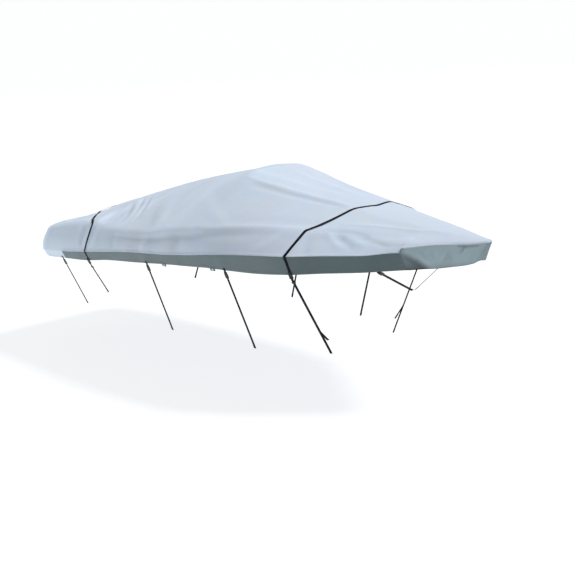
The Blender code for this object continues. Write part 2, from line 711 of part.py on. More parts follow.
def pierced_plate(name, middle, down, out, side, sizes, mat):
    """A plate with a round hole; sizes are its length, height, thickness and the hole's
    radius and offset down. A plate as tall as it is long is round."""
    long, tall, thick, hole, drop = sizes
    corners = 16
    squareness = 1.0 if long == tall else TAB_SQUARE
    points, faces = [], []
    for depth in (0.0, thick):
        for radius_u, radius_v, power, shift in ((long / 2, tall / 2, squareness, 0.0),
                                                 (hole, hole, 1.0, drop)):
            for k in range(corners):
                angle = 2 * math.pi * (k + 0.5) / corners
                u, v = math.cos(angle), math.sin(angle)
                u = math.copysign(abs(u) ** power, u) * radius_u
                v = math.copysign(abs(v) ** power, v) * radius_v + shift
                points.append(middle + side * u + down * v + out * depth)
    for k in range(corners):
        n = (k + 1) % corners
        low_out, low_in, top_out, top_in = (m * corners for m in range(4))
        faces.append([low_out + k, low_out + n, low_in + n, low_in + k])
        faces.append([top_out + n, top_out + k, top_in + k, top_in + n])
        faces.append([low_out + n, low_out + k, top_out + k, top_out + n])
        faces.append([low_in + k, low_in + n, top_in + n, top_in + k])
    return closed_outwards(mesh_object(name, points, faces, mat))


def outer_face(tree, along, up, sign):
    """The place and outward direction of the cloth's outer face on one side."""
    start = world(along, sign * 1.6, up)
    hit, normal, _, _ = tree.ray_cast(start, Vector((0.0, -sign, 0.0)))
    return hit, normal


def hem_frame(tree, along, sign, above, inside=False):
    """A frame on the skirt this far above the hem, its width along the hem."""
    up = section("hem_up", along) + above
    place, normal = outer_face(tree, along, up, sign)
    higher, _ = outer_face(tree, along, up + 0.010, sign)
    down = (place - higher).normalized()
    side = down.cross(normal).normalized()
    out = side.cross(down).normalized()
    if out.dot(normal) < 0:
        out = -out
    if inside:
        return Frame(place - out * (CLOTH + INNER_CLEAR), -out, side), down
    return Frame(place + out * SEAT, out, side), down


def rise_off_cloth(tree, start, down, out, side, long, wide):
    """How far a flat piece has to be lifted to lie on the cloth without touching it."""
    rise = 0.0
    for v in (0.0, 0.25, 0.5, 0.75, 1.0):
        for u in (-0.5, -0.25, 0.0, 0.25, 0.5):
            place = start + down * v * long + side * u * wide
            rise = max(rise, cloth_above(tree, place, out) + SEAT)
    return rise


def build_over_straps(tree, web, plastic):
    """Each strap over the top ends at the middle of a buckle's end, on both sides."""
    for name, along, slid, bow, foot_along, foot_half, foot_up in OVER:
        frames = over_route(tree, along, slid, bow)
        ends = []
        for frame, inner in ((frames[0], frames[1]), (frames[-1], frames[-2])):
            down = (frame.place - inner.place).normalized()
            out = (frame.out - down * frame.out.dot(down)).normalized()
            start = frame.place + down * (OVER_LEAD + GAP)
            rise = rise_off_cloth(tree, start, down, out, frame.side, BUCKLE_LONG, BUCKLE_WIDE)
            middle = out * (rise + (BUCKLE_THICK - WEB_THICK) / 2)
            ends.append((start + out * rise, down, out, frame.side))
            lead = Frame(frame.place + down * OVER_LEAD + middle, out, frame.side)
            frames.insert(0 if inner is frames[1] else len(frames), lead)
        ribbon(f"strap_{name}_over", frames, web)
        for side_name, sign, end in (("starboard", -1, ends[0]), ("port", 1, ends[1])):
            foot = world(foot_along, sign * foot_half, foot_up)
            add_over_hardware(name, side_name, end, foot, web, plastic)


def add_over_hardware(name, side_name, end, foot, web, plastic):
    """The buckle lies on the skirt in line with the strap; below it the strap bends."""
    start, down, out, side = end
    buckle(f"buckle_{name}_{side_name}", start, down, out, side, plastic)
    low = start + down * (BUCKLE_LONG + GAP) + out * (BUCKLE_THICK - WEB_THICK) / 2
    bend = low + down * TIE_BEND
    frames, thick = straight_strap(bend, foot, out, side)
    line = (foot - bend).normalized()
    straight_out, straight_side = frames[0].out, frames[0].side
    frames[0] = Frame(bend, (out + straight_out).normalized(), straight_side)
    frames.insert(0, Frame(low, out, side))
    frames.insert(2, Frame(bend + line * TIE_TURN, straight_out, straight_side))
    ribbon(f"strap_{name}_{side_name}", frames, web, [WEB_THICK] * 2 + thick)
    middle = bend + line * TIE_SLIDE + straight_out * WEB_THICK / 2
    slide(f"slide_{name}_{side_name}", middle, line, straight_out, straight_side, plastic)

    if name == SPARE[0]:
        leaves = (SPARE[1] - HELD_UP - bend.z) / (foot.z - bend.z)
        start = bend.lerp(foot, leaves) - straight_out * (WEB_THICK + GAP)
        turn = start + line * TIE_TURN
        along, half, up = SPARE_TIP
        tip = world(along, math.copysign(half, foot.y), up)
        frames, thick = straight_strap(turn, tip, straight_out, straight_side)
        frames[0] = Frame(turn, straight_out, straight_side)
        frames.insert(0, Frame(start, straight_out, straight_side))
        ribbon(f"spare_{name}_{side_name}", frames, web, [WEB_THICK] + thick)


def build_hanging_straps(tree, web, plastic):
    """A sewn-on end, its buckle and the strap below; the nose one starts inside the hem."""
    for name, along, foot_along, foot_half, foot_up in HANGING:
        inside = name == "nose"
        for side_name, sign in (("starboard", -1), ("port", 1)):
            foot = world(foot_along, sign * foot_half, foot_up)
            top, _ = hem_frame(tree, along, sign, ANCHOR_TOP, inside)
            low, down = hem_frame(tree, along, sign, ANCHOR_LOW, inside)
            bend = low.place + down * ANCHOR_BEND
            line = (foot - bend).normalized()
            side = (low.side - line * low.side.dot(line)).normalized()
            out = side.cross(line).normalized()
            out = out if out.dot(low.out) > 0 else -out
            end = Frame(bend + line * ANCHOR_END, out, side)
            turning = Frame(bend, (low.out + out).normalized(), (low.side + side).normalized())
            frames = [top, low, turning, end]
            if not inside:
                lay_off_cloth(tree, frames[:2])
            ribbon(f"anchor_{name}_{side_name}", frames, web)

            start = end.place + end.out * WEB_THICK / 2 + line * GAP
            buckle(f"buckle_{name}_{side_name}", start - end.out * BUCKLE_THICK / 2,
                   line, end.out, side, plastic)
            below = start + line * (BUCKLE_LONG + GAP) - end.out * WEB_THICK / 2
            frames, thick = straight_strap(below, foot, end.out, side)
            ribbon(f"strap_{name}_{side_name}", frames, web, thick)


def build_tabs(tree, cloth, metal):
    """Small sewn-on tabs that hang past the hem, each with an eyelet."""
    for number, along in enumerate(TAB_ALONG, 1):
        for side_name, sign in (("starboard", -1), ("port", 1)):
            frame, down = hem_frame(tree, along, sign, ANCHOR_LOW)
            out, side = frame.out, frame.side
            middle = frame.place + down * (TAB_DOWN + ANCHOR_LOW)
            top = middle - down * TAB_TALL / 2
            middle += out * rise_off_cloth(tree, top, down, out, side, TAB_TALL, TAB_LONG)
            sizes = (TAB_LONG, TAB_TALL, TAB_THICK, EYELET_HOLE + HOLE_MARGIN, EYELET_DOWN)
            pierced_plate(f"tab_{number}_{side_name}", middle, down, out, side, sizes, cloth)
            across = 2 * EYELET_OUTER
            sizes = (across, across, EYELET_THICK, EYELET_HOLE, 0.0)
            centre = middle + down * EYELET_DOWN + out * (TAB_THICK + GAP)
            pierced_plate(f"eyelet_{number}_{side_name}", centre, down, out, side, sizes, metal)


def main():
    clear_scene()
    roof_cloth = material("silver_grey_polyester", (0.58, 0.63, 0.70), 0.85)
    skirt_cloth = material("dark_grey_polyester", (0.14, 0.18, 0.20), 0.88)
    nose_cloth = material("mid_grey_polyester", (0.27, 0.33, 0.37), 0.86)
    web = material("black_webbing", (0.012, 0.014, 0.018), 0.75)
    plastic = material("black_acetal", (0.010, 0.011, 0.013), 0.42)
    metal = material("dull_steel", (0.45, 0.46, 0.47), 0.35, 1.0)

    roof_bm, _ = build_roof(roof_cloth)
    first, notch = ROWS.index(SKIRT_FROM), ROWS.index(SKIRT_NOTCH)
    last = len(ROWS) - 1
    starboard = [(k, -HALF_COLUMNS) for k in range(first, notch + 1)]
    port = [(k, HALF_COLUMNS) for k in range(notch, first - 1, -1)]
    nose = [(k, -HALF_COLUMNS) for k in range(notch, last)]
    nose += [(last, c) for c in range(-HALF_COLUMNS, HALF_COLUMNS + 1)]
    nose += [(k, HALF_COLUMNS) for k in range(last - 1, notch - 1, -1)]
    surfaces = [roof_bm]
    for name, keys, cloth in (("skirt_starboard", starboard, skirt_cloth),
                              ("skirt_port", port, skirt_cloth),
                              ("skirt_nose", nose, nose_cloth)):
        bm, _ = build_skirt(name, keys, cloth)
        surfaces.append(bm)

    points, faces = [], []
    for bm in surfaces:
        base = len(points)
        points += [v.co.copy() for v in bm.verts]
        faces += [[v.index + base for v in f.verts] for f in bm.faces]
        bm.free()
    tree = BVHTree.FromPolygons(points, faces)

    build_over_straps(tree, web, plastic)
    build_hanging_straps(tree, web, plastic)
    build_tabs(tree, skirt_cloth, metal)


main()
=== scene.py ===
import math

import bmesh
import bpy
import numpy as np
from mathutils import Matrix, Vector, noise
from mathutils.bvhtree import BVHTree

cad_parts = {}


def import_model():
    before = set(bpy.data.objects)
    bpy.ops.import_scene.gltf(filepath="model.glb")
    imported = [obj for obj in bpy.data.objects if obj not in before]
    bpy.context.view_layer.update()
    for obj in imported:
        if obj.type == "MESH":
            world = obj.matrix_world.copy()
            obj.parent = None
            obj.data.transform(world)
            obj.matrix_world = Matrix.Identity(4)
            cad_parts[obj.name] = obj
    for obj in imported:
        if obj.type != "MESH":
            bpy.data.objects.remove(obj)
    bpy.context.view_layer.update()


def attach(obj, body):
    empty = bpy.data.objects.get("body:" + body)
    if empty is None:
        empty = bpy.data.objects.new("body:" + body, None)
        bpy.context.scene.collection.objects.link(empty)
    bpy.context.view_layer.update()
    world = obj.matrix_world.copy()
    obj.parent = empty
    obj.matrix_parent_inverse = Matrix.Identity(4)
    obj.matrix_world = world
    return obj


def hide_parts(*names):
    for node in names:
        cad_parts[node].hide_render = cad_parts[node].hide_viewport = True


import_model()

# ------------------------------------------------------------------ camera, floor, light
# The cover is seen from ahead of its starboard side and a little above. The floor is
# plain and pale. A soft key comes from above, a wide light from astern and a low bounce
# from starboard.
CAMERA_AT = Vector((6.8987, -6.5078, 0.9072))
CAMERA_RIGHT = Vector((0.69714, 0.71494, -0.0534))
CAMERA_UP = Vector((-0.11874, 0.1886, 0.97485))
FLOOR_UP = -1.9366

camera_data = bpy.data.cameras.new("camera")
camera_data.sensor_width = 36.0
camera_data.lens = 36.0 * 1000 / 575
camera = bpy.data.objects.new("camera", camera_data)
bpy.context.collection.objects.link(camera)
right = CAMERA_RIGHT.normalized()
back = right.cross(CAMERA_UP).normalized()
up = back.cross(right)
camera.matrix_world = Matrix((
    (right.x, up.x, back.x, CAMERA_AT.x),
    (right.y, up.y, back.y, CAMERA_AT.y),
    (right.z, up.z, back.z, CAMERA_AT.z),
    (0.0, 0.0, 0.0, 1.0),
))
camera_data.clip_end = 200.0
bpy.context.scene.camera = camera

bpy.ops.mesh.primitive_plane_add(size=400.0, location=(0.0, 0.0, FLOOR_UP))
floor = bpy.context.active_object
floor.name = "floor"
floor_paint = bpy.data.materials.new("pale_floor")
floor_paint.use_nodes = True
floor_shader = floor_paint.node_tree.nodes["Principled BSDF"]
floor_shader.inputs["Base Color"].default_value = (0.28, 0.285, 0.29, 1.0)
floor_shader.inputs["Roughness"].default_value = 0.9
floor_shader.inputs["Specular IOR Level"].default_value = 0.1
floor_shader.inputs["Emission Color"].default_value = (0.98, 0.99, 1.0, 1.0)
floor_shader.inputs["Emission Strength"].default_value = 0.80
floor.data.materials.append(floor_paint)
floor.visible_diffuse = False
floor.visible_shadow = False


def add_soft_light(name, towards_light, power, softness, colour):
    bpy.ops.object.light_add(type="SUN", location=Vector(towards_light) * 10)
    lamp = bpy.context.active_object
    lamp.name = name
    lamp.rotation_euler = Vector(towards_light).to_track_quat("Z", "Y").to_euler()
    lamp.data.angle = math.radians(softness)
    lamp.data.energy = power
    lamp.data.color = colour


add_soft_light("key", (0.47, 0.43, 0.77), 2.60, 12.0, (1.0, 0.985, 0.985))
add_soft_light("side", (-0.94, -0.28, -0.22), 2.35, 40.0, (0.95, 0.97, 1.0))
add_soft_light("bounce", (0.05, -0.94, -0.32), 1.05, 60.0, (0.94, 0.98, 1.0))

# The studio's own light comes mostly from above. Straight at the camera it is the white
# of the backdrop.
sky = bpy.data.worlds.new("studio")
sky.use_nodes = True
sky_nodes, sky_links = sky.node_tree.nodes, sky.node_tree.links
sky_place = sky_nodes.new("ShaderNodeTexCoord")
sky_up = sky_nodes.new("ShaderNodeSeparateXYZ")
sky_fade = sky_nodes.new("ShaderNodeMapRange")
sky_fade.inputs["From Min"].default_value = -1.0
sky_fade.inputs["To Min"].default_value = 0.20
sky_fade.inputs["To Max"].default_value = 0.44
sky_links.new(sky_place.outputs["Generated"], sky_up.inputs["Vector"])
sky_links.new(sky_up.outputs["Z"], sky_fade.inputs["Value"])
room_light = sky_nodes["Background"]
room_light.inputs["Color"].default_value = (0.93, 0.965, 1.0, 1.0)
sky_links.new(sky_fade.outputs["Result"], room_light.inputs["Strength"])
backdrop = sky_nodes.new("ShaderNodeBackground")
backdrop.inputs["Color"].default_value = (0.99, 0.995, 1.0, 1.0)
backdrop.inputs["Strength"].default_value = 1.0
seen_or_lit = sky_nodes.new("ShaderNodeMixShader")
ray_kind = sky_nodes.new("ShaderNodeLightPath")
sky_links.new(ray_kind.outputs["Is Camera Ray"], seen_or_lit.inputs["Fac"])
sky_links.new(room_light.outputs["Background"], seen_or_lit.inputs[1])
sky_links.new(backdrop.outputs["Background"], seen_or_lit.inputs[2])
sky_links.new(seen_or_lit.outputs["Shader"], sky_nodes["World Output"].inputs["Surface"])
bpy.context.scene.world = sky
bpy.context.scene.view_settings.view_transform = "Standard"


# ------------------------------------------------------------------ roof
# One piece of silver-grey woven polyester, cut to the shape and pulled down over the
# edge. It rises to a flat-topped peak, is creased forward of it, and is drawn into
# slanting folds by the aft strap. Over the stern it reaches down to the hem.
CLOTH = 0.002               # thickness
EDGE_ROUND = 0.055          # how far the rounded shoulder reaches up the roof
SHOULDER_FADE = 1.5         # it reaches up to twice as far within this length of the stern
SHOULDER_HALF = 0.12        # and half as far where the roof is only this wide
STERN_FADE, NOSE_FADE = 0.65, 0.40      # the rows close up to the ends within these lengths
NOSE_PAST = 0.005           # the seam goes round the nose this far past the last section
ENDS = {
    # line: (in from stern, in from nose, stern radius, nose radius)
    "roof": (0.210, 0.031, 0.22, 0.018),
    "edge": (0.055, 0.014, 0.29, 0.027),
    "seam": (0.000, 0.000, 0.28, 0.030),
    "hem": (0.035, 0.083, 0.25, 0.021),
}
WALL_TOP = 0.30             # the shoulder has turned down this far along the wall
WALL_BULGE, STERN_BULGE = 0.007, 0.016  # the wall swells this much, and this much aft
BULGE_FADE = 1.2            # the larger swelling dies out over this length
BULGE_HALF = 0.3            # and the swelling is less where the cover is narrower than this
COLUMNS = ("along", "seam_half", "seam_up", "edge_half", "edge_up",
           "crown_half", "crown_up", "ridge_up", "hem_half", "hem_up")
SECTIONS = (
    (0.00, 1.000, 0.080, 0.950, 0.330, 0.450, 0.345, 0.352, 0.955, 0.000),
    (0.30, 1.020, 0.090, 0.945, 0.345, 0.450, 0.385, 0.402, 0.975, 0.010),
    (0.65, 1.048, 0.112, 0.942, 0.395, 0.430, 0.478, 0.510, 1.003, 0.030),
    (1.05, 1.070, 0.148, 0.948, 0.422, 0.420, 0.578, 0.628, 1.028, 0.052),
    (1.50, 1.088, 0.192, 0.980, 0.405, 0.410, 0.675, 0.733, 1.045, 0.100),
    (2.00, 1.098, 0.236, 1.008, 0.428, 0.400, 0.778, 0.835, 1.055, 0.130),
    (2.50, 1.098, 0.262, 1.008, 0.485, 0.392, 0.872, 0.918, 1.050, 0.160),
    (2.78, 1.096, 0.285, 1.004, 0.510, 0.390, 0.925, 0.964, 1.045, 0.172),
    (2.90, 1.092, 0.295, 1.000, 0.520, 0.390, 0.942, 0.985, 1.040, 0.178),
    (3.04, 1.086, 0.310, 0.985, 0.530, 0.385, 0.900, 0.948, 1.030, 0.182),
    (3.50, 1.045, 0.345, 0.880, 0.555, 0.340, 0.786, 0.810, 0.985, 0.180),
    (3.92, 0.980, 0.362, 0.725, 0.542, 0.262, 0.706, 0.724, 0.915, 0.197),
    (4.22, 0.825, 0.370, 0.560, 0.522, 0.226, 0.642, 0.656, 0.765, 0.214),
    (4.52, 0.650, 0.372, 0.470, 0.485, 0.185, 0.588, 0.598, 0.590, 0.224),
    (4.76, 0.460, 0.405, 0.405, 0.450, 0.150, 0.548, 0.556, 0.390, 0.234),
    (5.00, 0.260, 0.435, 0.235, 0.455, 0.100, 0.508, 0.515, 0.230, 0.248),
    (5.20, 0.120, 0.435, 0.105, 0.455, 0.045, 0.477, 0.481, 0.080, 0.279),
    (5.30, 0.045, 0.448, 0.040, 0.458, 0.015, 0.464, 0.465, 0.032, 0.420),
)
LENGTH = SECTIONS[-1][0]
HELD_ALONG, HELD_UP = 2.90, 0.9816      # the origin: the underside of the peak
CROWN_SOFT = ((2.3, 0.25), (3.0, 0.06), (3.6, 0.04), (5.3, 0.015))  # along, how soft its sides
FOLDS = (
    # from along, half, to along, half, width, height
    (0.98, 0.99, 0.78, 0.12, 0.060, 0.011),
    (1.06, 0.99, 1.10, 0.22, 0.055, -0.010),
    (1.12, 1.00, 1.38, 0.30, 0.060, 0.012),
    (1.18, 1.01, 1.66, 0.42, 0.065, -0.007),
    (1.62, 1.02, 1.78, 0.45, 0.070, 0.006),
    (2.02, 1.04, 2.22, 0.36, 0.090, -0.006),
    (2.46, 1.05, 2.60, 0.40, 0.090, 0.005),
    (2.90, 0.30, 3.70, 0.08, 0.050, 0.006),
    (3.10, 0.90, 4.40, 0.47, 0.070, -0.006),
    (3.45, 0.99, 4.05, 0.62, 0.060, 0.007),
    (4.10, 0.70, 4.62, 0.40, 0.055, -0.008),
    (4.30, 0.66, 4.72, 0.36, 0.045, 0.008),
)
PORT_FOLD = 0.6             # folds are this much of starboard's on the port side
FOLD_END = 0.18             # a fold dies out over this length past its ends
FOLD_REACH = 3              # and reaches this many widths to the side
LAST_ROW = 5.20
CORNER = 1 - math.sqrt(0.5)             # the corner rows meet the corner's arc here
MIDDLE_STEPS, SIDE_STEPS = 14, 32
CROWN_MOST = 0.72           # the crown takes up no more than this share of the half width
SHOULDER_RINGS, WALL_RINGS = 6, 9

PLACES = [row[0] for row in SECTIONS]
CURVES = {name: [row[k] for row in SECTIONS] for k, name in enumerate(COLUMNS)}


def steady_slopes(xs, ys):
    """Slopes at the points of a curve that doesn't overshoot between them."""
    rises = [(b - a) / (q - p) for p, q, a, b in zip(xs, xs[1:], ys, ys[1:])]
    slopes = [rises[0]]
    for k in range(1, len(rises)):
        before, after = rises[k - 1], rises[k]
        if before * after <= 0:
            slopes.append(0.0)
            continue
        behind, ahead = xs[k] - xs[k - 1], xs[k + 1] - xs[k]
        first, second = 2 * ahead + behind, ahead + 2 * behind
        slopes.append((first + second) / (first / before + second / after))
    return slopes + [rises[-1]]


SLOPES = {name: steady_slopes(PLACES, values) for name, values in CURVES.items()}
known = {}


def section(name, along):
    """One column of the section table, read as a smooth curve."""
    key = (name, round(along, 5))
    if key in known:
        return known[key]
    along = min(max(along, PLACES[0]), PLACES[-1])
    k = max(i for i in range(len(PLACES) - 1) if PLACES[i] <= along)
    values, slopes = CURVES[name], SLOPES[name]
    step = PLACES[k + 1] - PLACES[k]
    t = (along - PLACES[k]) / step
    start = (1 + 2 * t) * (1 - t) ** 2 * values[k] + t * (1 - t) ** 2 * step * slopes[k]
    end = t * t * (3 - 2 * t) * values[k + 1] - t * t * (1 - t) * step * slopes[k + 1]
    known[key] = start + end
    return known[key]


def between(table, at):
    """A table of places and values, read in straight lines."""
    for (a, low), (b, high) in zip(table, table[1:]):
        if at < b:
            return low + (high - low) * max(0.0, at - a) / (b - a)
    return table[-1][1]


def roof_up(along, half):
    """Height of the smooth roof: a shallow arch to the crown, then a straight fall."""
    half = abs(half)
    crown, crown_up = section("crown_half", along), section("crown_up", along)
    ridge_up = section("ridge_up", along)
    edge, edge_up = section("edge_half", along), section("edge_up", along)
    reach = between(CROWN_SOFT, along)
    soft = reach * min(1.0, half / reach)
    total = 0.0
    for step in (-1.0, -0.5, 0.0, 0.5, 1.0):
        at = abs(half + step * soft)
        if at < crown:
            total += ridge_up + (crown_up - ridge_up) * (at / crown) ** 2
        else:
            total += crown_up + (edge_up - crown_up) * (at - crown) / (edge - crown)
    return total / 5


def fold_height(along, half):
    total = 0.0
    for x0, y0, x1, y1, width, height in FOLDS:
        dx, dy = x1 - x0, y1 - y0
        length = math.hypot(dx, dy)
        px, py = along - x0, abs(half) - y0
        run = (px * dx + py * dy) / length
        off = (px * dy - py * dx) / length
        beyond = max(0.0, -run, run - length)
        if beyond < FOLD_END and abs(off) < FOLD_REACH * width:
            ending = 0.5 + 0.5 * math.cos(math.pi * beyond / FOLD_END)
            total += height * ending * math.exp(-(off / width) ** 2)
    return total * (1.0 if half < 0 else PORT_FOLD)


def edge_inset(along):
    wide = section("edge_half", along)
    aft = max(0.0, 1.0 - along / SHOULDER_FADE)
    return EDGE_ROUND * (1 + aft) * wide / (wide + SHOULDER_HALF)


def line_half(line, along):
    if line == "roof":
        return section("edge_half", along) - edge_inset(along)
    return section(f"{line}_half", along)


def line_ends(line):
    stern_in, nose_in, stern_radius, nose_radius = ENDS[line]
    return stern_in, LENGTH + NOSE_PAST - nose_in, stern_radius, nose_radius


def quarter(depth, radius):
    """How far a round corner has drawn in at this depth from its end."""
    short = max(0.0, radius - depth)
    return radius - math.sqrt(max(0.0, radius ** 2 - short ** 2))


def row_place(line, row):
    stern, nose, stern_radius, nose_radius = line_ends(line)
    first = stern + CORNER * stern_radius
    last = nose - CORNER * nose_radius
    aft = max(0.0, 1.0 - row / STERN_FADE)
    fore = max(0.0, 1.0 - (LAST_ROW - row) / NOSE_FADE)
    return row + first * aft + (last - LAST_ROW) * fore


def half_width(line, along):
    stern, nose, stern_radius, nose_radius = line_ends(line)
    rounded = quarter(along - stern, stern_radius) + quarter(nose - along, nose_radius)
    return line_half(line, along) - rounded


def end_bulge(line, end, half):
    """How far the last row bulges past its corners, at a half width."""
    stern, nose, stern_radius, nose_radius = line_ends(line)
    radius = stern_radius if end == "stern" else nose_radius
    corner = stern + CORNER * radius if end == "stern" else nose - CORNER * radius
    straight = line_half(line, corner) - radius
    return CORNER * radius - quarter(radius - max(0.0, abs(half) - straight), radius)


def column_share(row, column):
    """Share of the half width at a column, from 0 at the ridge to 1 at the edge."""
    along = row_place("roof", row)
    crown = min(CROWN_MOST, section("crown_half", along) / half_width("roof", along))
    if column <= MIDDLE_STEPS:
        return crown * column / MIDDLE_STEPS
    return crown + (1 - crown) * (column - MIDDLE_STEPS) / SIDE_STEPS


def line_point(line, row, column):
    """(along, half) of a row and column, on a line or, for the roof, inside it."""
    side_place = row_place(line, row)
    wide = half_width(line, side_place)
    half = math.copysign(column_share(row, abs(column)) * wide, column)
    aft = max(0.0, 1.0 - row / STERN_FADE)
    fore = max(0.0, 1.0 - (LAST_ROW - row) / NOSE_FADE)
    shift = 0.0
    if aft > 0:
        scale = half_width(line, row_place(line, 0.0)) / wide
        shift -= aft * end_bulge(line, "stern", half * scale)
    if fore > 0:
        scale = half_width(line, row_place(line, LAST_ROW)) / wide
        shift += fore * end_bulge(line, "nose", half * scale)
    return side_place + shift, half


def world(along, half, height):
    return Vector((along - HELD_ALONG, half, height - HELD_UP))


SKIRT_FROM, SKIRT_NOTCH = 0.65, 4.76
ROW_STEPS = (
    # from, to, length of a step: finer where the cloth is more creased
    (0.00, 0.65, 0.022),
    (0.65, 1.00, 0.018),
    (1.00, 1.90, 0.012),
    (1.90, 3.40, 0.022),
    (3.40, 4.76, 0.016),
    (4.76, 5.20, 0.009),
)
ROWS = [0.0]
for low, high, step in ROW_STEPS:
    parts = round((high - low) / step)
    ROWS += [low + (high - low) * k / parts for k in range(1, parts)] + [high]
HALF_COLUMNS = MIDDLE_STEPS + SIDE_STEPS
last_row = len(ROWS) - 1
rim = [(k, -HALF_COLUMNS) for k in range(last_row)]
rim += [(last_row, c) for c in range(-HALF_COLUMNS, HALF_COLUMNS)]
rim += [(k, HALF_COLUMNS) for k in range(last_row, 0, -1)]
rim += [(0, c) for c in range(HALF_COLUMNS, -HALF_COLUMNS, -1)]
NOTCH_DROP, NOTCH_RISE, NOTCH_FADE = 0.021, 0.018, 0.075


def seam_height(row, along):
    """The roof hangs lower just aft of the notch, and is drawn up just forward of it."""
    step = 0.0
    if SKIRT_FROM < row <= SKIRT_NOTCH:
        step = -NOTCH_DROP * math.exp(-(SKIRT_NOTCH - row) / NOTCH_FADE)
    elif row > SKIRT_NOTCH:
        step = NOTCH_RISE * math.exp(-(row - SKIRT_NOTCH) / NOTCH_FADE)
    return section("seam_up", along) + step


def wall_point(index, column, turn, fall):
    """A point of the wall: turn runs down the shoulder, then fall down to the seam."""
    row = ROWS[index]
    x0, y0 = line_point("roof", row, column)
    x1, y1 = line_point("edge", row, column)
    x2, y2 = line_point("seam", row, column)
    roof = world(x0, y0, roof_up(x0, y0))
    edge = world(x1, y1, roof_up(x1, y1))
    seam = world(x2, y2, seam_height(row, x2))
    turned = edge.lerp(seam, WALL_TOP)
    if turn < 1:
        return roof * (1 - turn) ** 2 + edge * 2 * turn * (1 - turn) + turned * turn ** 2
    swell = max(0.0, 1.0 - x2 / BULGE_FADE) * (STERN_BULGE - WALL_BULGE) + WALL_BULGE
    outward = Vector((seam.x - edge.x, seam.y - edge.y, 0.0)).normalized()
    narrow = min(1.0, abs(seam.y) / BULGE_HALF) if x2 > BULGE_FADE else 1.0
    return turned.lerp(seam, fall) + outward * swell * narrow * math.sin(math.pi * fall)


PUCKERS = (
    # place along, width along, how far it stands out
    (0.95, 0.10, 0.004),
    (1.55, 0.14, -0.004),
    (2.17, 0.07, 0.005),
    (2.75, 0.12, -0.004),
    (3.25, 0.07, 0.005),
    (3.62, 0.10, -0.004),
    (4.62, 0.06, -0.008),
    (4.80, 0.045, 0.012),
    (4.90, 0.040, -0.010),
    (5.00, 0.040, 0.012),
    (5.12, 0.035, -0.008),
    (5.22, 0.030, 0.007),
)
PUCKER_RUN = 0.8            # share of a pucker's arch that fits in above the hem
FAN_ALONG, FAN_HALF = 2.4, 2.2          # puckers stand out from here, this much more sideways


def pucker(along, half):
    share = 1.0 if half < 0 else PORT_FOLD
    return share * sum(h * math.exp(-((along - x) / w) ** 2) for x, w, h in PUCKERS)


def skirt_point(index, column, t):
    """A point below the seam, t = 0 at the seam and 1 at the hem."""
    row = ROWS[index]
    x0, y0 = line_point("seam", row, column)
    x1, y1 = line_point("hem", row, column)
    seam = world(x0, y0, seam_height(row, x0))
    hem = world(x1, y1, section("hem_up", x1))
    outward = Vector((x0 - FAN_ALONG, y0 * FAN_HALF, 0.0)).normalized()
    swell = pucker(x0, y0) * math.sin(math.pi * min(1.0, t * PUCKER_RUN))
    return seam.lerp(hem, t) + outward * swell


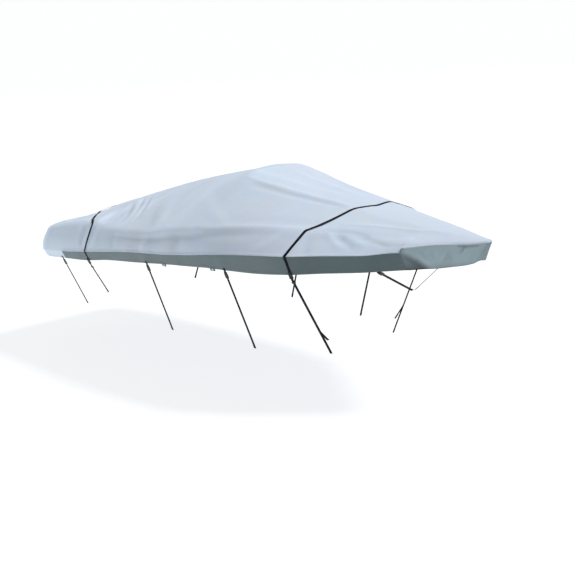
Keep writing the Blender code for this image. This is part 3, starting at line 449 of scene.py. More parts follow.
# Creases on the surface: ridges stand up and troughs are negative. A crease is given by
# a few places on it, as (along, half width) on the roof or (along, half width, up).
CREASES = (
    # width, height, how much of it shows to port, places
    (0.026, -0.0250, 0.5, ((1.24, -0.60), (1.25, -0.79), (1.265, -0.90), (1.22, -0.985))),
    (0.024, 0.0100, 0.5, ((1.30, -0.62), (1.31, -0.79), (1.325, -0.90), (1.30, -0.97))),
    (0.036, 0.0153, 0.5, ((1.08, -0.60), (1.16, -0.78), (1.19, -0.95))),
    (0.030, -0.0100, 0.6, ((1.26, -0.49), (1.38, -0.64), (1.48, -0.77), (1.54, -0.88))),
    (0.026, 0.0090, 0.4, ((1.30, -0.44), (1.50, -0.68), (1.59, -0.80), (1.62, -0.92))),
    (0.024, -0.0080, 0.7, ((1.34, -0.42), (1.48, -0.57), (1.61, -0.74))),
    (0.026, 0.0090, 0.5, ((1.40, -0.42), (1.55, -0.60), (1.67, -0.77), (1.72, -0.89))),
    (0.028, -0.0115, 0.5, ((1.41, -0.39), (1.55, -0.55), (1.70, -0.72), (1.72, -0.79))),
    (0.030, 0.0070, 0.5, ((1.49, -0.40), (1.63, -0.56), (1.77, -0.72), (1.80, -0.80))),
    (0.050, -0.0120, 0.8, ((1.90, -0.66), (1.97, -0.80), (2.08, -0.92), (2.21, -1.01))),
    (0.060, 0.0110, 0.8, ((2.05, -0.58), (2.16, -0.78), (2.30, -0.96))),
    (0.055, 0.0076, 0.6, ((2.55, -0.60), (2.90, -0.80), (3.24, -0.935))),
    (0.022, 0.0130, 0.6, ((2.92, -0.405), (3.15, -0.38), (3.31, -0.345), (3.64, -0.285),
                          (4.03, -0.215))),
    (0.030, -0.0100, 0.6, ((3.05, -0.455), (3.40, -0.395), (3.75, -0.325), (4.00, -0.275))),
    (0.030, 0.0076, 0.0, ((2.98, 0.03), (3.20, 0.05), (3.40, 0.07), (3.93, 0.085))),
    (0.022, 0.0068, 0.6, ((4.20, -0.43), (4.45, -0.32), (4.61, -0.26), (4.77, -0.20),
                          (4.94, -0.11))),
    (0.030, -0.0093, 0.7, ((3.96, -0.68), (4.13, -0.59), (4.28, -0.51), (4.42, -0.475))),
    (0.026, 0.0102, 0.5, ((4.12, -0.61, 0.53), (4.22, -0.66, 0.48), (4.33, -0.69, 0.42))),
    (0.024, -0.0093, 0.5, ((4.20, -0.60, 0.51), (4.34, -0.62, 0.45), (4.42, -0.64, 0.41))),
    (0.026, 0.0102, 0.6, ((4.27, -0.55, 0.50), (4.40, -0.57, 0.46), (4.50, -0.57, 0.42))),
    (0.024, -0.0085, 0.6, ((4.38, -0.50, 0.50), (4.52, -0.50, 0.46), (4.66, -0.48, 0.43))),
    (0.040, -0.0085, 0.7, ((0.98, -1.00, 0.37), (1.02, -1.05, 0.30), (1.05, -1.07, 0.22))),
    (0.040, 0.0085, 0.7, ((1.28, -1.01, 0.37), (1.30, -1.06, 0.30), (1.25, -1.08, 0.24))),
    (0.050, -0.0085, 0.5, ((1.62, -1.00, 0.40), (1.60, -1.06, 0.33), (1.66, -1.09, 0.26))),
    (0.060, 0.0076, 0.6, ((2.20, -1.03, 0.40), (2.16, -1.08, 0.33), (2.20, -1.10, 0.27))),
    (0.060, -0.0085, 0.6, ((2.62, -1.03, 0.46), (2.66, -1.08, 0.38), (2.62, -1.10, 0.30))),
    (0.045, 0.0102, 0.6, ((3.80, -0.80, 0.54), (3.72, -0.94, 0.46), (3.62, -1.01, 0.38))),
    (0.040, -0.0085, 0.6, ((4.02, -0.74, 0.51), (4.08, -0.84, 0.44), (4.10, -0.88, 0.38))),
    (0.034, -0.0102, 0.8, ((0.55, -0.70), (0.62, -0.86), (0.70, -0.96))),
    (0.040, 0.0102, 0.6, ((0.30, -0.55), (0.42, -0.78), (0.58, -0.95))),
    (0.045, -0.0093, 0.5, ((0.12, -0.40, 0.34), (0.04, -0.48, 0.24), (0.01, -0.50, 0.12))),
    (0.045, 0.0085, 0.7, ((0.14, -0.20, 0.35), (0.04, -0.18, 0.25), (0.01, -0.20, 0.12))),
    (0.035, -0.0102, 0.6, ((0.16, -0.78, 0.34), (0.09, -0.86, 0.24), (0.06, -0.88, 0.12))),
    # the hollow under the shoulder
    (0.042, -0.0110, 0.7, ((1.50, -1.01, 0.35), (1.80, -1.03, 0.36), (2.22, -1.045, 0.375),
                           (2.52, -1.035, 0.425), (2.93, -1.02, 0.47), (3.32, -0.955, 0.505),
                           (3.83, -0.81, 0.52))),
    (0.030, 0.0060, 0.7, ((1.60, -0.99, 0.40), (2.22, -1.01, 0.425), (2.52, -1.00, 0.475),
                          (2.93, -0.985, 0.52), (3.32, -0.90, 0.55), (3.83, -0.745, 0.555))),
    # round the nose
    (0.014, 0.0060, 0.6, ((4.765, -0.436, 0.36), (4.786, -0.388, 0.304))),
    (0.017, 0.0130, 0.6, ((4.862, -0.353, 0.378), (4.891, -0.304, 0.316),
                          (4.948, -0.263, 0.282))),
    (0.015, 0.0110, 0.7, ((5.046, -0.219, 0.373), (4.999, -0.237, 0.307))),
    (0.010, -0.0110, 0.6, ((5.162, -0.146, 0.424), (5.146, -0.155, 0.398),
                           (5.130, -0.160, 0.368))),
    (0.009, -0.0080, 0.6, ((5.115, -0.178, 0.428), (5.165, -0.144, 0.421),
                           (5.25, -0.076, 0.427))),
    (0.012, 0.0050, 0.6, ((5.180, -0.128, 0.410), (5.160, -0.138, 0.385),
                          (5.145, -0.140, 0.355))),
    (0.028, -0.0120, 0.6, ((4.79, -0.42, 0.375), (4.835, -0.365, 0.315), (4.88, -0.32, 0.275))),
    (0.020, -0.0090, 0.6, ((4.95, -0.29, 0.38), (4.965, -0.262, 0.335))),
    (0.018, -0.0050, 0.6, ((5.07, -0.20, 0.35), (5.08, -0.19, 0.31))),
    (0.014, -0.0050, 0.6, ((5.265, -0.05, 0.39), (5.28, -0.035, 0.355))),
)
CREASE_TAPER, CREASE_END = 0.3, 0.25    # tapers over this share of it, down to this height
FAR = 9.0


def crease_lift(places):
    """How far the creases lift the cloth at each place, as an array."""
    lift = np.zeros(len(places))
    for width, height, to_port, line in CREASES:
        for sign, share in ((1.0, 1.0), (-1.0, to_port)):
            if not share:
                continue
            knots = []
            for place in line:
                half = place[1] * sign
                height_here = place[2] if len(place) > 2 else roof_up(place[0], half)
                knots.append(world(place[0], half, height_here))
            knots = np.array(knots)
            lengths = np.linalg.norm(np.diff(knots, axis=0), axis=1)
            total, before = lengths.sum(), 0.0
            nearest = np.full(len(places), FAR)
            run = np.zeros(len(places))
            for a, b, length in zip(knots, knots[1:], lengths):
                part = np.clip(((places - a) @ (b - a)) / length ** 2, 0.0, 1.0)
                away = np.linalg.norm(places - (a + part[:, None] * (b - a)), axis=1)
                closer = away < nearest
                nearest = np.where(closer, away, nearest)
                run = np.where(closer, (before + part * length) / total, run)
                before += length
            taper = np.clip(np.minimum(run, 1.0 - run) / CREASE_TAPER, 0.0, 1.0)
            profile = np.exp(-(nearest / width) ** 2)
            lift += share * height * profile * (CREASE_END + (1 - CREASE_END) * taper ** 0.5)
    return lift


WAVES = (
    # height, shift, how close together along, across and up
    (0.0030, 0.0, 2.1, 2.6, 3.2),
    (0.0011, 3.0, 6.5, 5.5, 7.0),
)


def small_waves(place):
    """Slack left in the cloth: shallow hollows a hand or two wide, and finer ones."""
    return sum(height * noise.noise(Vector((place.x * x + shift, place.y * y, place.z * z)))
               for height, shift, x, y, z in WAVES)


def surface_normals(points, faces):
    """Outward normals of the outer face, and which of its points lie on its rim."""
    bm = bmesh.new()
    verts = [bm.verts.new(p) for p in points]
    for face in faces:
        bm.faces.new([verts[k] for k in face])
    bm.normal_update()
    bm.verts.index_update()
    normals = [v.normal.copy() for v in bm.verts]
    edge = {v.index for v in bm.verts if v.is_boundary}
    bm.free()
    return normals, edge


def add_mesh(name, points, faces, flat=None, sharp=None, outward=False):
    """A smooth mesh; flat is each point's place on the cut cloth, in metres."""
    mesh = bpy.data.meshes.new(name)
    mesh.from_pydata(points, [], faces)
    if outward:
        bm = bmesh.new()
        bm.from_mesh(mesh)
        bmesh.ops.recalc_face_normals(bm, faces=bm.faces[:])
        bm.to_mesh(mesh)
        bm.free()
    if flat:
        pattern = mesh.uv_layers.new(name="pattern")
        for loop in mesh.loops:
            pattern.data[loop.index].uv = flat[loop.vertex_index]
    mesh.shade_smooth()
    if sharp:
        mesh.set_sharp_from_angle(angle=math.radians(sharp))
    obj = bpy.data.objects.new(name, mesh)
    bpy.context.collection.objects.link(obj)
    return obj


def lay_cloth(name, points, flat, faces, folds, level_edge=None):
    """A closed sheet under its outer face; its edge is level where level_edge says."""
    normals, edge = surface_normals(points, faces)
    inner = []
    for k, point in enumerate(points):
        normal = normals[k]
        if k in (edge if level_edge is None else level_edge):
            normal.z = 0.0
            normal.normalize()
        inner.append(point - normal * CLOTH)
    sides = {}
    for face in faces:
        for a, b in zip(face, face[1:] + face[:1]):
            if (b, a) in sides:
                del sides[b, a]
            else:
                sides[a, b] = True
    count = len(points)
    all_faces = [list(f) for f in faces] + [[k + count for k in reversed(f)] for f in faces]
    all_faces += [[b, a, a + count, b + count] for a, b in sides]
    obj = add_mesh(name, list(points) + inner, all_faces, list(flat) * 2, CLOTH_SHARP)
    fold = obj.data.attributes.new("fold", "FLOAT", "POINT")
    fold.data.foreach_set("value", list(folds) * 2)
    return obj


# The whole outer face is laid out first: the roof, the walls down to the seam, and the
# cloth below it down to the hem. It is cut into its pieces once the folds are in it.
CLOTH_SHARP = 60            # degrees
SEAM_BAND, SEAM_PROUD, SEAM_TUCK = 0.014, 0.0016, 0.0024
HEM_BAND, HEM_PROUD = 0.024, 0.0009
SEAM_LEVELS = (1.15, 1.0, 0.5, 0.0)     # in bands above the seam, and above the hem
HEM_LEVELS = (1.0, 0.5, 0.15, 0.0)
WALL_FOOT, SKIRT_FOOT = 1.3, 1.12       # the levels above stop this many bands short
UPPER_SKIRT = 15            # levels of the skirt above its hem
WALL_SHADE_RAMP, WALL_PAINTED_SHADE = 0.25, 1.3     # painted shade on the walls is full within this share of the way down, at this depth
FOLD_FULL = 0.012           # a fold this high gets the full painted light or shade
SKIRT_SLACK = 0.5
all_points, all_flat, roof_share, grid = [], [], [], {}
for i, row in enumerate(ROWS):
    for column in range(-HALF_COLUMNS, HALF_COLUMNS + 1):
        along, half = line_point("roof", row, column)
        grid[i, column] = len(all_points)
        all_points.append(world(along, half, roof_up(along, half)))
        roof_share.append(1.0)
    all_flat += [None] * (2 * HALF_COLUMNS + 1)
    for sign in (-1, 1):
        out = 0.0
        for column in range(HALF_COLUMNS + 1):
            here = all_points[grid[i, sign * column]]
            if column:
                out += (here - all_points[grid[i, sign * (column - 1)]]).length
            all_flat[grid[i, sign * column]] = (here.x, sign * out)
all_faces = []
for i in range(last_row):
    for c in range(-HALF_COLUMNS, HALF_COLUMNS):
        all_faces.append([grid[i, c], grid[i + 1, c], grid[i + 1, c + 1], grid[i, c + 1]])

drop_ways = []
for i, c in rim:
    endwards = -1.0 if i == 0 else 1.0 if i == last_row else 0.0
    sideways = math.copysign(1.0, c) if abs(c) == HALF_COLUMNS else 0.0
    drop_ways.append(Vector((endwards, sideways)).normalized())
walls = [[wall_point(i, c, turn / SHOULDER_RINGS, 0.0) for i, c in rim]
         for turn in range(1, SHOULDER_RINGS)]
wall_heights = [(wall_point(i, c, 1.0, 0.0) - wall_point(i, c, 1.0, 1.0)).length
                for i, c in rim]
for ring in range(WALL_RINGS):
    walls.append([wall_point(i, c, 1.0, ring / WALL_RINGS * (1 - WALL_FOOT * SEAM_BAND / height))
                  for (i, c), height in zip(rim, wall_heights)])
for above_seam in SEAM_LEVELS:
    walls.append([wall_point(i, c, 1.0, 1 - above_seam * SEAM_BAND / height)
                  for (i, c), height in zip(rim, wall_heights)])
seam_ring = len(walls) - 1
skirt_heights = [(skirt_point(i, c, 0.0) - skirt_point(i, c, 1.0)).length for i, c in rim]
for part in range(1, UPPER_SKIRT + 1):
    walls.append([skirt_point(i, c, part / UPPER_SKIRT * (1 - SKIRT_FOOT * HEM_BAND / height))
                  for (i, c), height in zip(rim, skirt_heights)])
for above_hem in HEM_LEVELS:
    walls.append([skirt_point(i, c, 1 - above_hem * HEM_BAND / height)
                  for (i, c), height in zip(rim, skirt_heights)])
rings = []
upper = [grid[key] for key in rim]
ring_faces = []
for number, ring in enumerate(walls):
    lower = list(range(len(all_points), len(all_points) + len(rim)))
    for k, point in enumerate(ring):
        length = (point - all_points[upper[k]]).length
        u, v = all_flat[upper[k]]
        all_flat.append((u + drop_ways[k].x * length, v + drop_ways[k].y * length))
    all_points += ring
    fade = max(0.0, 1.0 - (number + 1) / seam_ring)
    roof_share += [fade] * len(rim)
    ring_faces.append([])
    for k in range(len(rim)):
        n = (k + 1) % len(rim)
        ring_faces[-1].append([lower[k], lower[n], upper[n], upper[k]])
    rings.append(lower)
    upper = lower
every_face = all_faces + [face for faces in ring_faces for face in faces]
normals, _ = surface_normals(all_points, every_face)
creased = crease_lift(np.array(all_points))
folds = []
for k, place in enumerate(all_points):
    fold = creased[k] + roof_share[k] * fold_height(place.x + HELD_ALONG, place.y)
    slack = 1.0 if k < rings[seam_ring][0] else SKIRT_SLACK
    all_points[k] = place + normals[k] * (fold + small_waves(place) * slack)
    # Painted light on ridges, and painted shade in troughs and on the walls down to the seam.
    wall_shade = min(1.0, (1.0 - roof_share[k]) / WALL_SHADE_RAMP) if k < rings[seam_ring + 1][0] else 0.0
    folds.append(min(1.0, max(-1.0, fold / FOLD_FULL)) - WALL_PAINTED_SHADE * wall_shade)

# The folded edge over the seam stands out a little, and so does the folded hem.
first_skirt, notch = ROWS.index(SKIRT_FROM), ROWS.index(SKIRT_NOTCH)
skirted = {k for k, (i, c) in enumerate(rim) if i > first_skirt}
for number, proud in ((seam_ring - 2, 1.0), (seam_ring - 1, 1.0), (seam_ring, 0.9)):
    for k in skirted:
        index = rings[number][k]
        all_points[index] = all_points[index] + normals[index] * SEAM_PROUD * proud
for from_hem, proud in ((4, 1.0), (3, 1.0), (2, 1.0), (1, 0.4)):
    for index in rings[-from_hem]:
        all_points[index] = all_points[index] + normals[index] * HEM_PROUD * proud

stern = [k for k, (i, c) in enumerate(rim) if i <= first_skirt]
start = next(k for k in stern if k - 1 not in stern and k > 0)
stern = stern[stern.index(start):] + stern[:stern.index(start)]
roof_faces = all_faces + [face for faces in ring_faces[:seam_ring + 1] for face in faces]
for number in range(seam_ring + 1, len(rings)):
    roof_faces += [ring_faces[number][k] for k in stern[:-1]]


def cut_piece(faces):
    """The points, flat pattern and folds of some faces of the outer face, renumbered."""
    used = sorted({k for face in faces for k in face})
    place = {k: n for n, k in enumerate(used)}
    return ([all_points[k].copy() for k in used], [all_flat[k] for k in used],
            [[place[k] for k in face] for face in faces], [folds[k] for k in used])


roof_points, roof_flat, roof_local, roof_folds = cut_piece(roof_faces)
roof = lay_cloth("roof", roof_points, roof_flat, roof_local, roof_folds)


def start_group(name, *inputs):
    """A node group: a base colour goes in, and a colour, roughness and normal come out."""
    group = bpy.data.node_groups.new(name, "ShaderNodeTree")
    surface = (("Colour", "Color"), ("Roughness", "Float"), ("Normal", "Vector"))
    for way, sockets in (("INPUT", (("Colour", "Color"),) + inputs), ("OUTPUT", surface)):
        for label, kind in sockets:
            group.interface.new_socket(label, in_out=way, socket_type="NodeSocket" + kind)
    given = group.nodes.new("NodeGroupInput").outputs
    return group, given, group.nodes.new("NodeGroupOutput").inputs


def reckon(tree, operation, *values):
    node = tree.nodes.new("ShaderNodeMath")
    node.operation = operation
    for socket, value in zip(node.inputs, values):
        if isinstance(value, (int, float)):
            socket.default_value = value
        else:
            tree.links.new(value, socket)
    return node.outputs[0]


def grain(tree, place, scale, detail=2.0, stretch=None):
    """Noise between -0.5 and 0.5 at a scale; stretch draws it out along the axes."""
    if stretch:
        mapping = tree.nodes.new("ShaderNodeMapping")
        mapping.inputs["Scale"].default_value = stretch
        tree.links.new(place, mapping.inputs["Vector"])
        place = mapping.outputs["Vector"]
    node = tree.nodes.new("ShaderNodeTexNoise")
    node.inputs["Scale"].default_value = scale
    node.inputs["Detail"].default_value = detail
    tree.links.new(place, node.inputs["Vector"])
    return reckon(tree, "SUBTRACT", node.outputs["Fac"], 0.5)


def weighted(tree, start, *pairs):
    """start plus the sum of value times weight."""
    total = start
    for value, weight in pairs:
        total = reckon(tree, "MULTIPLY_ADD", value, weight, total)
    return total


def toned(tree, colour, tone):
    node = tree.nodes.new("ShaderNodeHueSaturation")
    tree.links.new(colour, node.inputs["Color"])
    tree.links.new(tone, node.inputs["Value"])
    return node.outputs["Color"]


def bumped(tree, height, distance, before=None):
    node = tree.nodes.new("ShaderNodeBump")
    node.inputs["Distance"].default_value = distance
    tree.links.new(height, node.inputs["Height"])
    if before is not None:
        tree.links.new(before, node.inputs["Normal"])
    return node.outputs["Normal"]


def flat_pattern(tree):
    """Place on the cut cloth, in metres."""
    node = tree.nodes.new("ShaderNodeUVMap")
    node.uv_map = "pattern"
    split = tree.nodes.new("ShaderNodeSeparateXYZ")
    tree.links.new(node.outputs["UV"], split.inputs["Vector"])
    return split.outputs["X"], split.outputs["Y"]


def object_place(tree):
    return tree.nodes.new("ShaderNodeTexCoord").outputs["Object"]


# Plain-woven cloth: yarns over and under, slubs and faint creases from packing. Light and
# shade are painted in from the fold attribute: lighter on ridges, darker in troughs.
YARN_PITCH = 0.0009
woven, given, gives = start_group("woven_cloth", ("Pitch", "Float"))
warp, weft = [
    reckon(woven, "SINE", reckon(woven, "MULTIPLY",
                                 reckon(woven, "DIVIDE", way, given["Pitch"]), math.pi))
    for way in flat_pattern(woven)]
over = reckon(woven, "MULTIPLY_ADD", reckon(woven, "MULTIPLY", warp, weft), 0.5, 0.5)
lifted = reckon(woven, "MULTIPLY", reckon(woven, "ABSOLUTE", warp), over)
crossed = reckon(woven, "MULTIPLY", reckon(woven, "ABSOLUTE", weft),
                 reckon(woven, "SUBTRACT", 1.0, over))
yarns = reckon(woven, "ADD", lifted, crossed)
spot = object_place(woven)
broad = grain(woven, spot, 1.6, 3.0)
patches = grain(woven, spot, 12.0, 3.0)
slubs = grain(woven, spot, 90.0, 2.0, (1.0, 6.0, 6.0))
fibres = grain(woven, spot, 900.0, 2.0)
folded = woven.nodes.new("ShaderNodeAttribute")
folded.attribute_name = "fold"
# The fold attribute is painted light and shade: ridges lighter; troughs, walls, the seam's edge
# and the nose's hollows darker.
tone = weighted(woven, 0.96, (broad, 0.16), (patches, 0.10), (slubs, 0.05), (fibres, 0.08),
                (folded.outputs["Fac"], 0.07), (yarns, 0.08))
faded = woven.nodes.new("ShaderNodeHueSaturation")
woven.links.new(toned(woven, given["Colour"], tone), faded.inputs["Color"])
woven.links.new(weighted(woven, 0.49, (grain(woven, spot, 0.9, 2.0), -0.06)), faded.inputs["Hue"])
woven.links.new(weighted(woven, 0.95, (patches, 0.8), (broad, 0.5)), faded.inputs["Saturation"])
woven.links.new(faded.outputs["Color"], gives["Colour"])
dullness = weighted(woven, 0.80, (patches, 0.16), (slubs, 0.12), (broad, 0.08))
woven.links.new(dullness, gives["Roughness"])
rucks = grain(woven, spot, 7.0, 2.0)
rucked = bumped(woven, weighted(woven, 0.0, (rucks, 1.0), (patches, 0.25)), 0.0035)
slubbed = bumped(woven, weighted(woven, 0.0, (slubs, 1.0), (fibres, 0.3)), 0.0002, rucked)
woven.links.new(bumped(woven, yarns, 0.00012, slubbed), gives["Normal"])


def finish_material(name, group, colour, sheen=0.0, **others):
    """A material whose colour, roughness and normal come from a node group."""
    mat = bpy.data.materials.new(name)
    mat.use_nodes = True
    tree = mat.node_tree
    shader = tree.nodes["Principled BSDF"]
    effect = tree.nodes.new("ShaderNodeGroup")
    effect.node_tree = group
    effect.inputs["Colour"].default_value = (*colour, 1.0)
    for label, value in others.items():
        effect.inputs[label].default_value = value
    for label, socket in (("Colour", "Base Color"), ("Roughness", "Roughness"),
                          ("Normal", "Normal")):
        tree.links.new(effect.outputs[label], shader.inputs[socket])
    shader.inputs["Sheen Weight"].default_value = sheen
    shader.inputs["Sheen Roughness"].default_value = 0.45
    shader.inputs["Specular IOR Level"].default_value = 0.35
    return mat


CLOTH_SHEEN = 0.10
silver_cloth = finish_material("silver_grey_polyester", woven, (0.60, 0.675, 0.80),
                               CLOTH_SHEEN, Pitch=YARN_PITCH)
roof.data.materials.append(silver_cloth)
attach(roof, "root")
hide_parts("roof_panel")


# ------------------------------------------------------------------ skirts
# Three lengths of darker cloth sewn on under the seam: one down each side, and a lighter
# one round the nose, which laps inside the side ones. All have a folded hem.
GAP = 0.0003                # between pieces that touch
LAP, LAP_UNDER, LAP_STEP = 0.012, 0.0023, 0.0005
skirt_cloth = finish_material("dark_grey_polyester", woven, (0.121, 0.164, 0.176),
                              CLOTH_SHEEN, Pitch=YARN_PITCH)
nose_cloth = finish_material("mid_grey_polyester", woven, (0.415, 0.525, 0.585),
                             CLOTH_SHEEN, Pitch=YARN_PITCH)
rim_at = {key: k for k, key in enumerate(rim)}
NOTCH_TOP, NOTCH_LEAN = 0.395, 1.05     # top of the painted shade below the notch, and how far it leans forward
NOTCH_SOFT = 0.06
LOW_FROM, LOW_SOFT = 0.30, 0.05         # painted shade on the nose below this height
# How deep the painted shade is below the notch, low down, and on the turned-in hem.
NOTCH_SHADE, LOW_SHADE, NOSE_HEM_SHADE = 8.0, 2.2, 5.0
PLEATS = (
    # width, depth of the painted shade along the pleat, places (along, up)
    (0.009, 6.0, ((5.160, 0.424), (5.146, 0.398), (5.132, 0.372))),
    (0.009, 5.0, ((5.125, 0.428), (5.160, 0.422), (5.250, 0.430))),
    (0.009, 5.0, ((4.762, 0.416), (4.785, 0.414))),
)
NOSE_TAPER = 0.64           # the nose's side runs this far along in a metre of its cloth


def nose_painted_shade(place):
    """Painted shade on the nose cloth where it is drawn in below the notch, low down and in its
    pleats.
    """
    along, height = place.x + HELD_ALONG, place.z + HELD_UP
    notch_shade_share = (SKIRT_NOTCH + NOTCH_LEAN * (NOTCH_TOP - height) - along) / NOTCH_SOFT + 0.5
    low = (LOW_FROM - height) / LOW_SOFT
    painted_dark = NOTCH_SHADE * min(1.0, max(0.0, notch_shade_share)) + LOW_SHADE * min(1.0, max(0.0, low))
    here = Vector((along / NOSE_TAPER, height))
    for width, dark, line in PLEATS:
        spots = [Vector((spot[0] / NOSE_TAPER, spot[1])) for spot in line]
        nearest = 1.0
        for start, end in zip(spots, spots[1:]):
            run = end - start
            share = min(1.0, max(0.0, (here - start).dot(run) / run.length_squared))
            nearest = min(nearest, (here - start - run * share).length)
        painted_dark += dark * math.exp(-(nearest / width) ** 2) * (1.0 if place.y < 0 else PORT_FOLD)
    return painted_dark


sides_of_skirt = (
    ("skirt_starboard", [(k, -HALF_COLUMNS) for k in range(first_skirt, notch + 1)],
     skirt_cloth, (0.17, 4.3), 0.58, "skirt_cloth"),
    ("skirt_port", [(k, HALF_COLUMNS) for k in range(notch, first_skirt - 1, -1)],
     skirt_cloth, (0.17, 4.3), 0.58, "skirt_cloth"),
    ("skirt_nose", [(k, -HALF_COLUMNS) for k in range(notch, last_row)]
     + [(last_row, c) for c in range(-HALF_COLUMNS, HALF_COLUMNS + 1)]
     + [(k, HALF_COLUMNS) for k in range(last_row - 1, notch - 1, -1)],
     nose_cloth, (0.24, 1.3), 0.253, "nose_cloth"),
)
cloth_points, cloth_faces = list(roof_points), [list(f) for f in roof_local]
for skirt_name, keys, cloth, size, area, slot in sides_of_skirt:
    points, flat, bends, faces = [], [], [], []
    for number in range(seam_ring, len(rings)):
        ring = [all_points[rings[number][rim_at[key]]].copy() for key in keys]
        pattern = [all_flat[rings[number][rim_at[key]]] for key in keys]
        bent = [folds[rings[number][rim_at[key]]] for key in keys]
        if number == seam_ring:
            for n, key in enumerate(keys):
                index = rings[number][rim_at[key]]
                tuck = SEAM_PROUD * 0.9 + SEAM_TUCK if rim_at[key] in skirted else 0.0
                ring[n] -= normals[index] * tuck
                ring[n].z -= GAP
                # Painted shade along the top of the skirt, under the seam's folded edge.
                bent[n] = -1.0
        if skirt_name == "skirt_nose":
            # Painted shade on the nose cloth, and more on its turned-in hem.
            hem_shade = NOSE_HEM_SHADE if number >= len(rings) - 2 else 0.0
            bent = [bend - nose_painted_shade(place) - hem_shade for bend, place in zip(bent, ring)]
            for first, second in ((0, 1), (-1, -2)):
                aft = (ring[first] - ring[second]).normalized()
                inward = normals[rings[number][rim_at[keys[first]]]] * -LAP_UNDER
                tucked = [ring[first] + aft * LAP + inward, ring[first] + inward]
                ring[first] = ring[first] - aft * LAP_STEP + inward
                u, v = pattern[first]
                extra_flat = [(u - LAP, v), (u - 2 * LAP_STEP, v)]
                if first == 0:
                    ring, pattern = tucked + ring, extra_flat + pattern
                    bent = [bent[0]] * 2 + bent
                else:
                    ring, pattern = ring + tucked[::-1], pattern + extra_flat[::-1]
                    bent = bent + [bent[-1]] * 2
        else:
            ring[0] += (ring[1] - ring[0]).normalized() * GAP
            ring[-1] += (ring[-2] - ring[-1]).normalized() * GAP
        points += ring
        flat += pattern
        bends += bent
    count = len(ring)
    for level in range(len(rings) - 1 - seam_ring):
        for k in range(count - 1):
            high, low = level * count + k, (level + 1) * count + k
            faces.append([low, low + 1, high + 1, high])
    ends = set(range(count)) | set(range(len(points) - count, len(points)))
    skirt = lay_cloth(skirt_name + "_cloth", points, flat, faces, bends, ends)
    skirt.data.materials.append(cloth)
    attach(skirt, "root")
    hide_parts(skirt_name)
    base = len(cloth_points)
    cloth_points += points
    cloth_faces += [[k + base for k in f] for f in faces]
cloth_tree = BVHTree.FromPolygons(cloth_points, cloth_faces)


# ------------------------------------------------------------------ seam and hem stitching
# Two rows of dark thread hold the folded edge over the skirts, and one row holds the hem.
# One stitch is modelled and repeated along the lines.
THREAD_LONG, THREAD_WIDE, THREAD_TALL = 0.0065, 0.0013, 0.0011
THREAD_STEP, THREAD_PROUD = 0.0100, 0.0001
SEAM_ROWS, HEM_ROW = (0.4, 0.35), 0.2   # where each row lies between two levels
bpy.ops.object.select_all(action="DESELECT")
bpy.ops.mesh.primitive_uv_sphere_add(segments=6, ring_count=4, radius=0.5)
stitch = bpy.context.active_object
bpy.ops.object.mode_set(mode="EDIT")
bpy.ops.mesh.select_all(action="SELECT")
bpy.ops.transform.rotate(value=math.pi / 2, orient_axis="Y", center_override=(0, 0, 0))
bpy.ops.transform.resize(value=(THREAD_LONG, THREAD_WIDE, THREAD_TALL))
bpy.ops.object.mode_set(mode="OBJECT")
stitch_points = np.array([v.co for v in stitch.data.vertices])
stitch_faces = [list(p.vertices) for p in stitch.data.polygons]
bpy.data.objects.remove(stitch)

sewn, given, gives = start_group("twisted_thread")
spot = object_place(sewn)
soiling = grain(sewn, spot, 25.0, 2.0)
twist = grain(sewn, spot, 1400.0, 1.0)
tone = weighted(sewn, 1.0, (soiling, 0.5), (twist, 0.3))
sewn.links.new(toned(sewn, given["Colour"], tone), gives["Colour"])
sewn.links.new(weighted(sewn, 0.6, (soiling, 0.3)), gives["Roughness"])
sewn.links.new(bumped(sewn, twist, 0.0003), gives["Normal"])
grey_thread = finish_material("dark_grey_thread", sewn, (0.07, 0.085, 0.095))
black_thread = finish_material("black_thread", sewn, (0.030, 0.032, 0.036))


def stitching(name, places, mat):
    """One mesh of stitches, each given by its place, its direction and its outward side."""
    points, faces = [], []
    for place, way, out in places:
        side = out.cross(way).normalized()
        turn = np.array([way.normalized(), side, way.cross(side).normalized()])
        base = len(points)
        points.extend((stitch_points @ turn + np.array(place)).tolist())
        faces.extend([[k + base for k in face] for face in stitch_faces])
    obj = add_mesh(name, points, faces)
    obj.data.materials.append(mat)
    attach(obj, "root")


def along_line(line, step, closed=False):
    """Evenly spaced (place, way, out) along a line of (place, out)."""
    found, left = [], step / 2
    pairs = list(zip(line, line[1:] + line[:1])) if closed else list(zip(line, line[1:]))
    for (a, out_a), (b, out_b) in pairs:
        length = (b - a).length
        while left < length:
            share = left / length
            found.append((a.lerp(b, share), (b - a) / length, out_a.lerp(out_b, share)))
            left += step
        left -= length
    return found


def thread_line(level, share, keys):
    """(place, out) of a row of stitches between one level of the cloth and the next."""
    line = []
    for k in keys:
        a, b = rings[level][k], rings[level + 1][k]
        place = all_points[a].lerp(all_points[b], share) + normals[a] * THREAD_PROUD
        line.append((place, normals[a]))
    return line


seam_rows = []
skirt_keys = sorted(skirted | {k for k in range(len(rim)) if rim[k][0] == first_skirt})
for level, share in zip((seam_ring - 2, seam_ring - 1), SEAM_ROWS):
    seam_rows += along_line(thread_line(level, share, skirt_keys), THREAD_STEP)
stitching("seam_stitches", seam_rows, grey_thread)
hem_rows = along_line(thread_line(len(rings) - 4, HEM_ROW, range(len(rim))), THREAD_STEP, True)
stitching("hem_stitches", hem_rows, grey_thread)


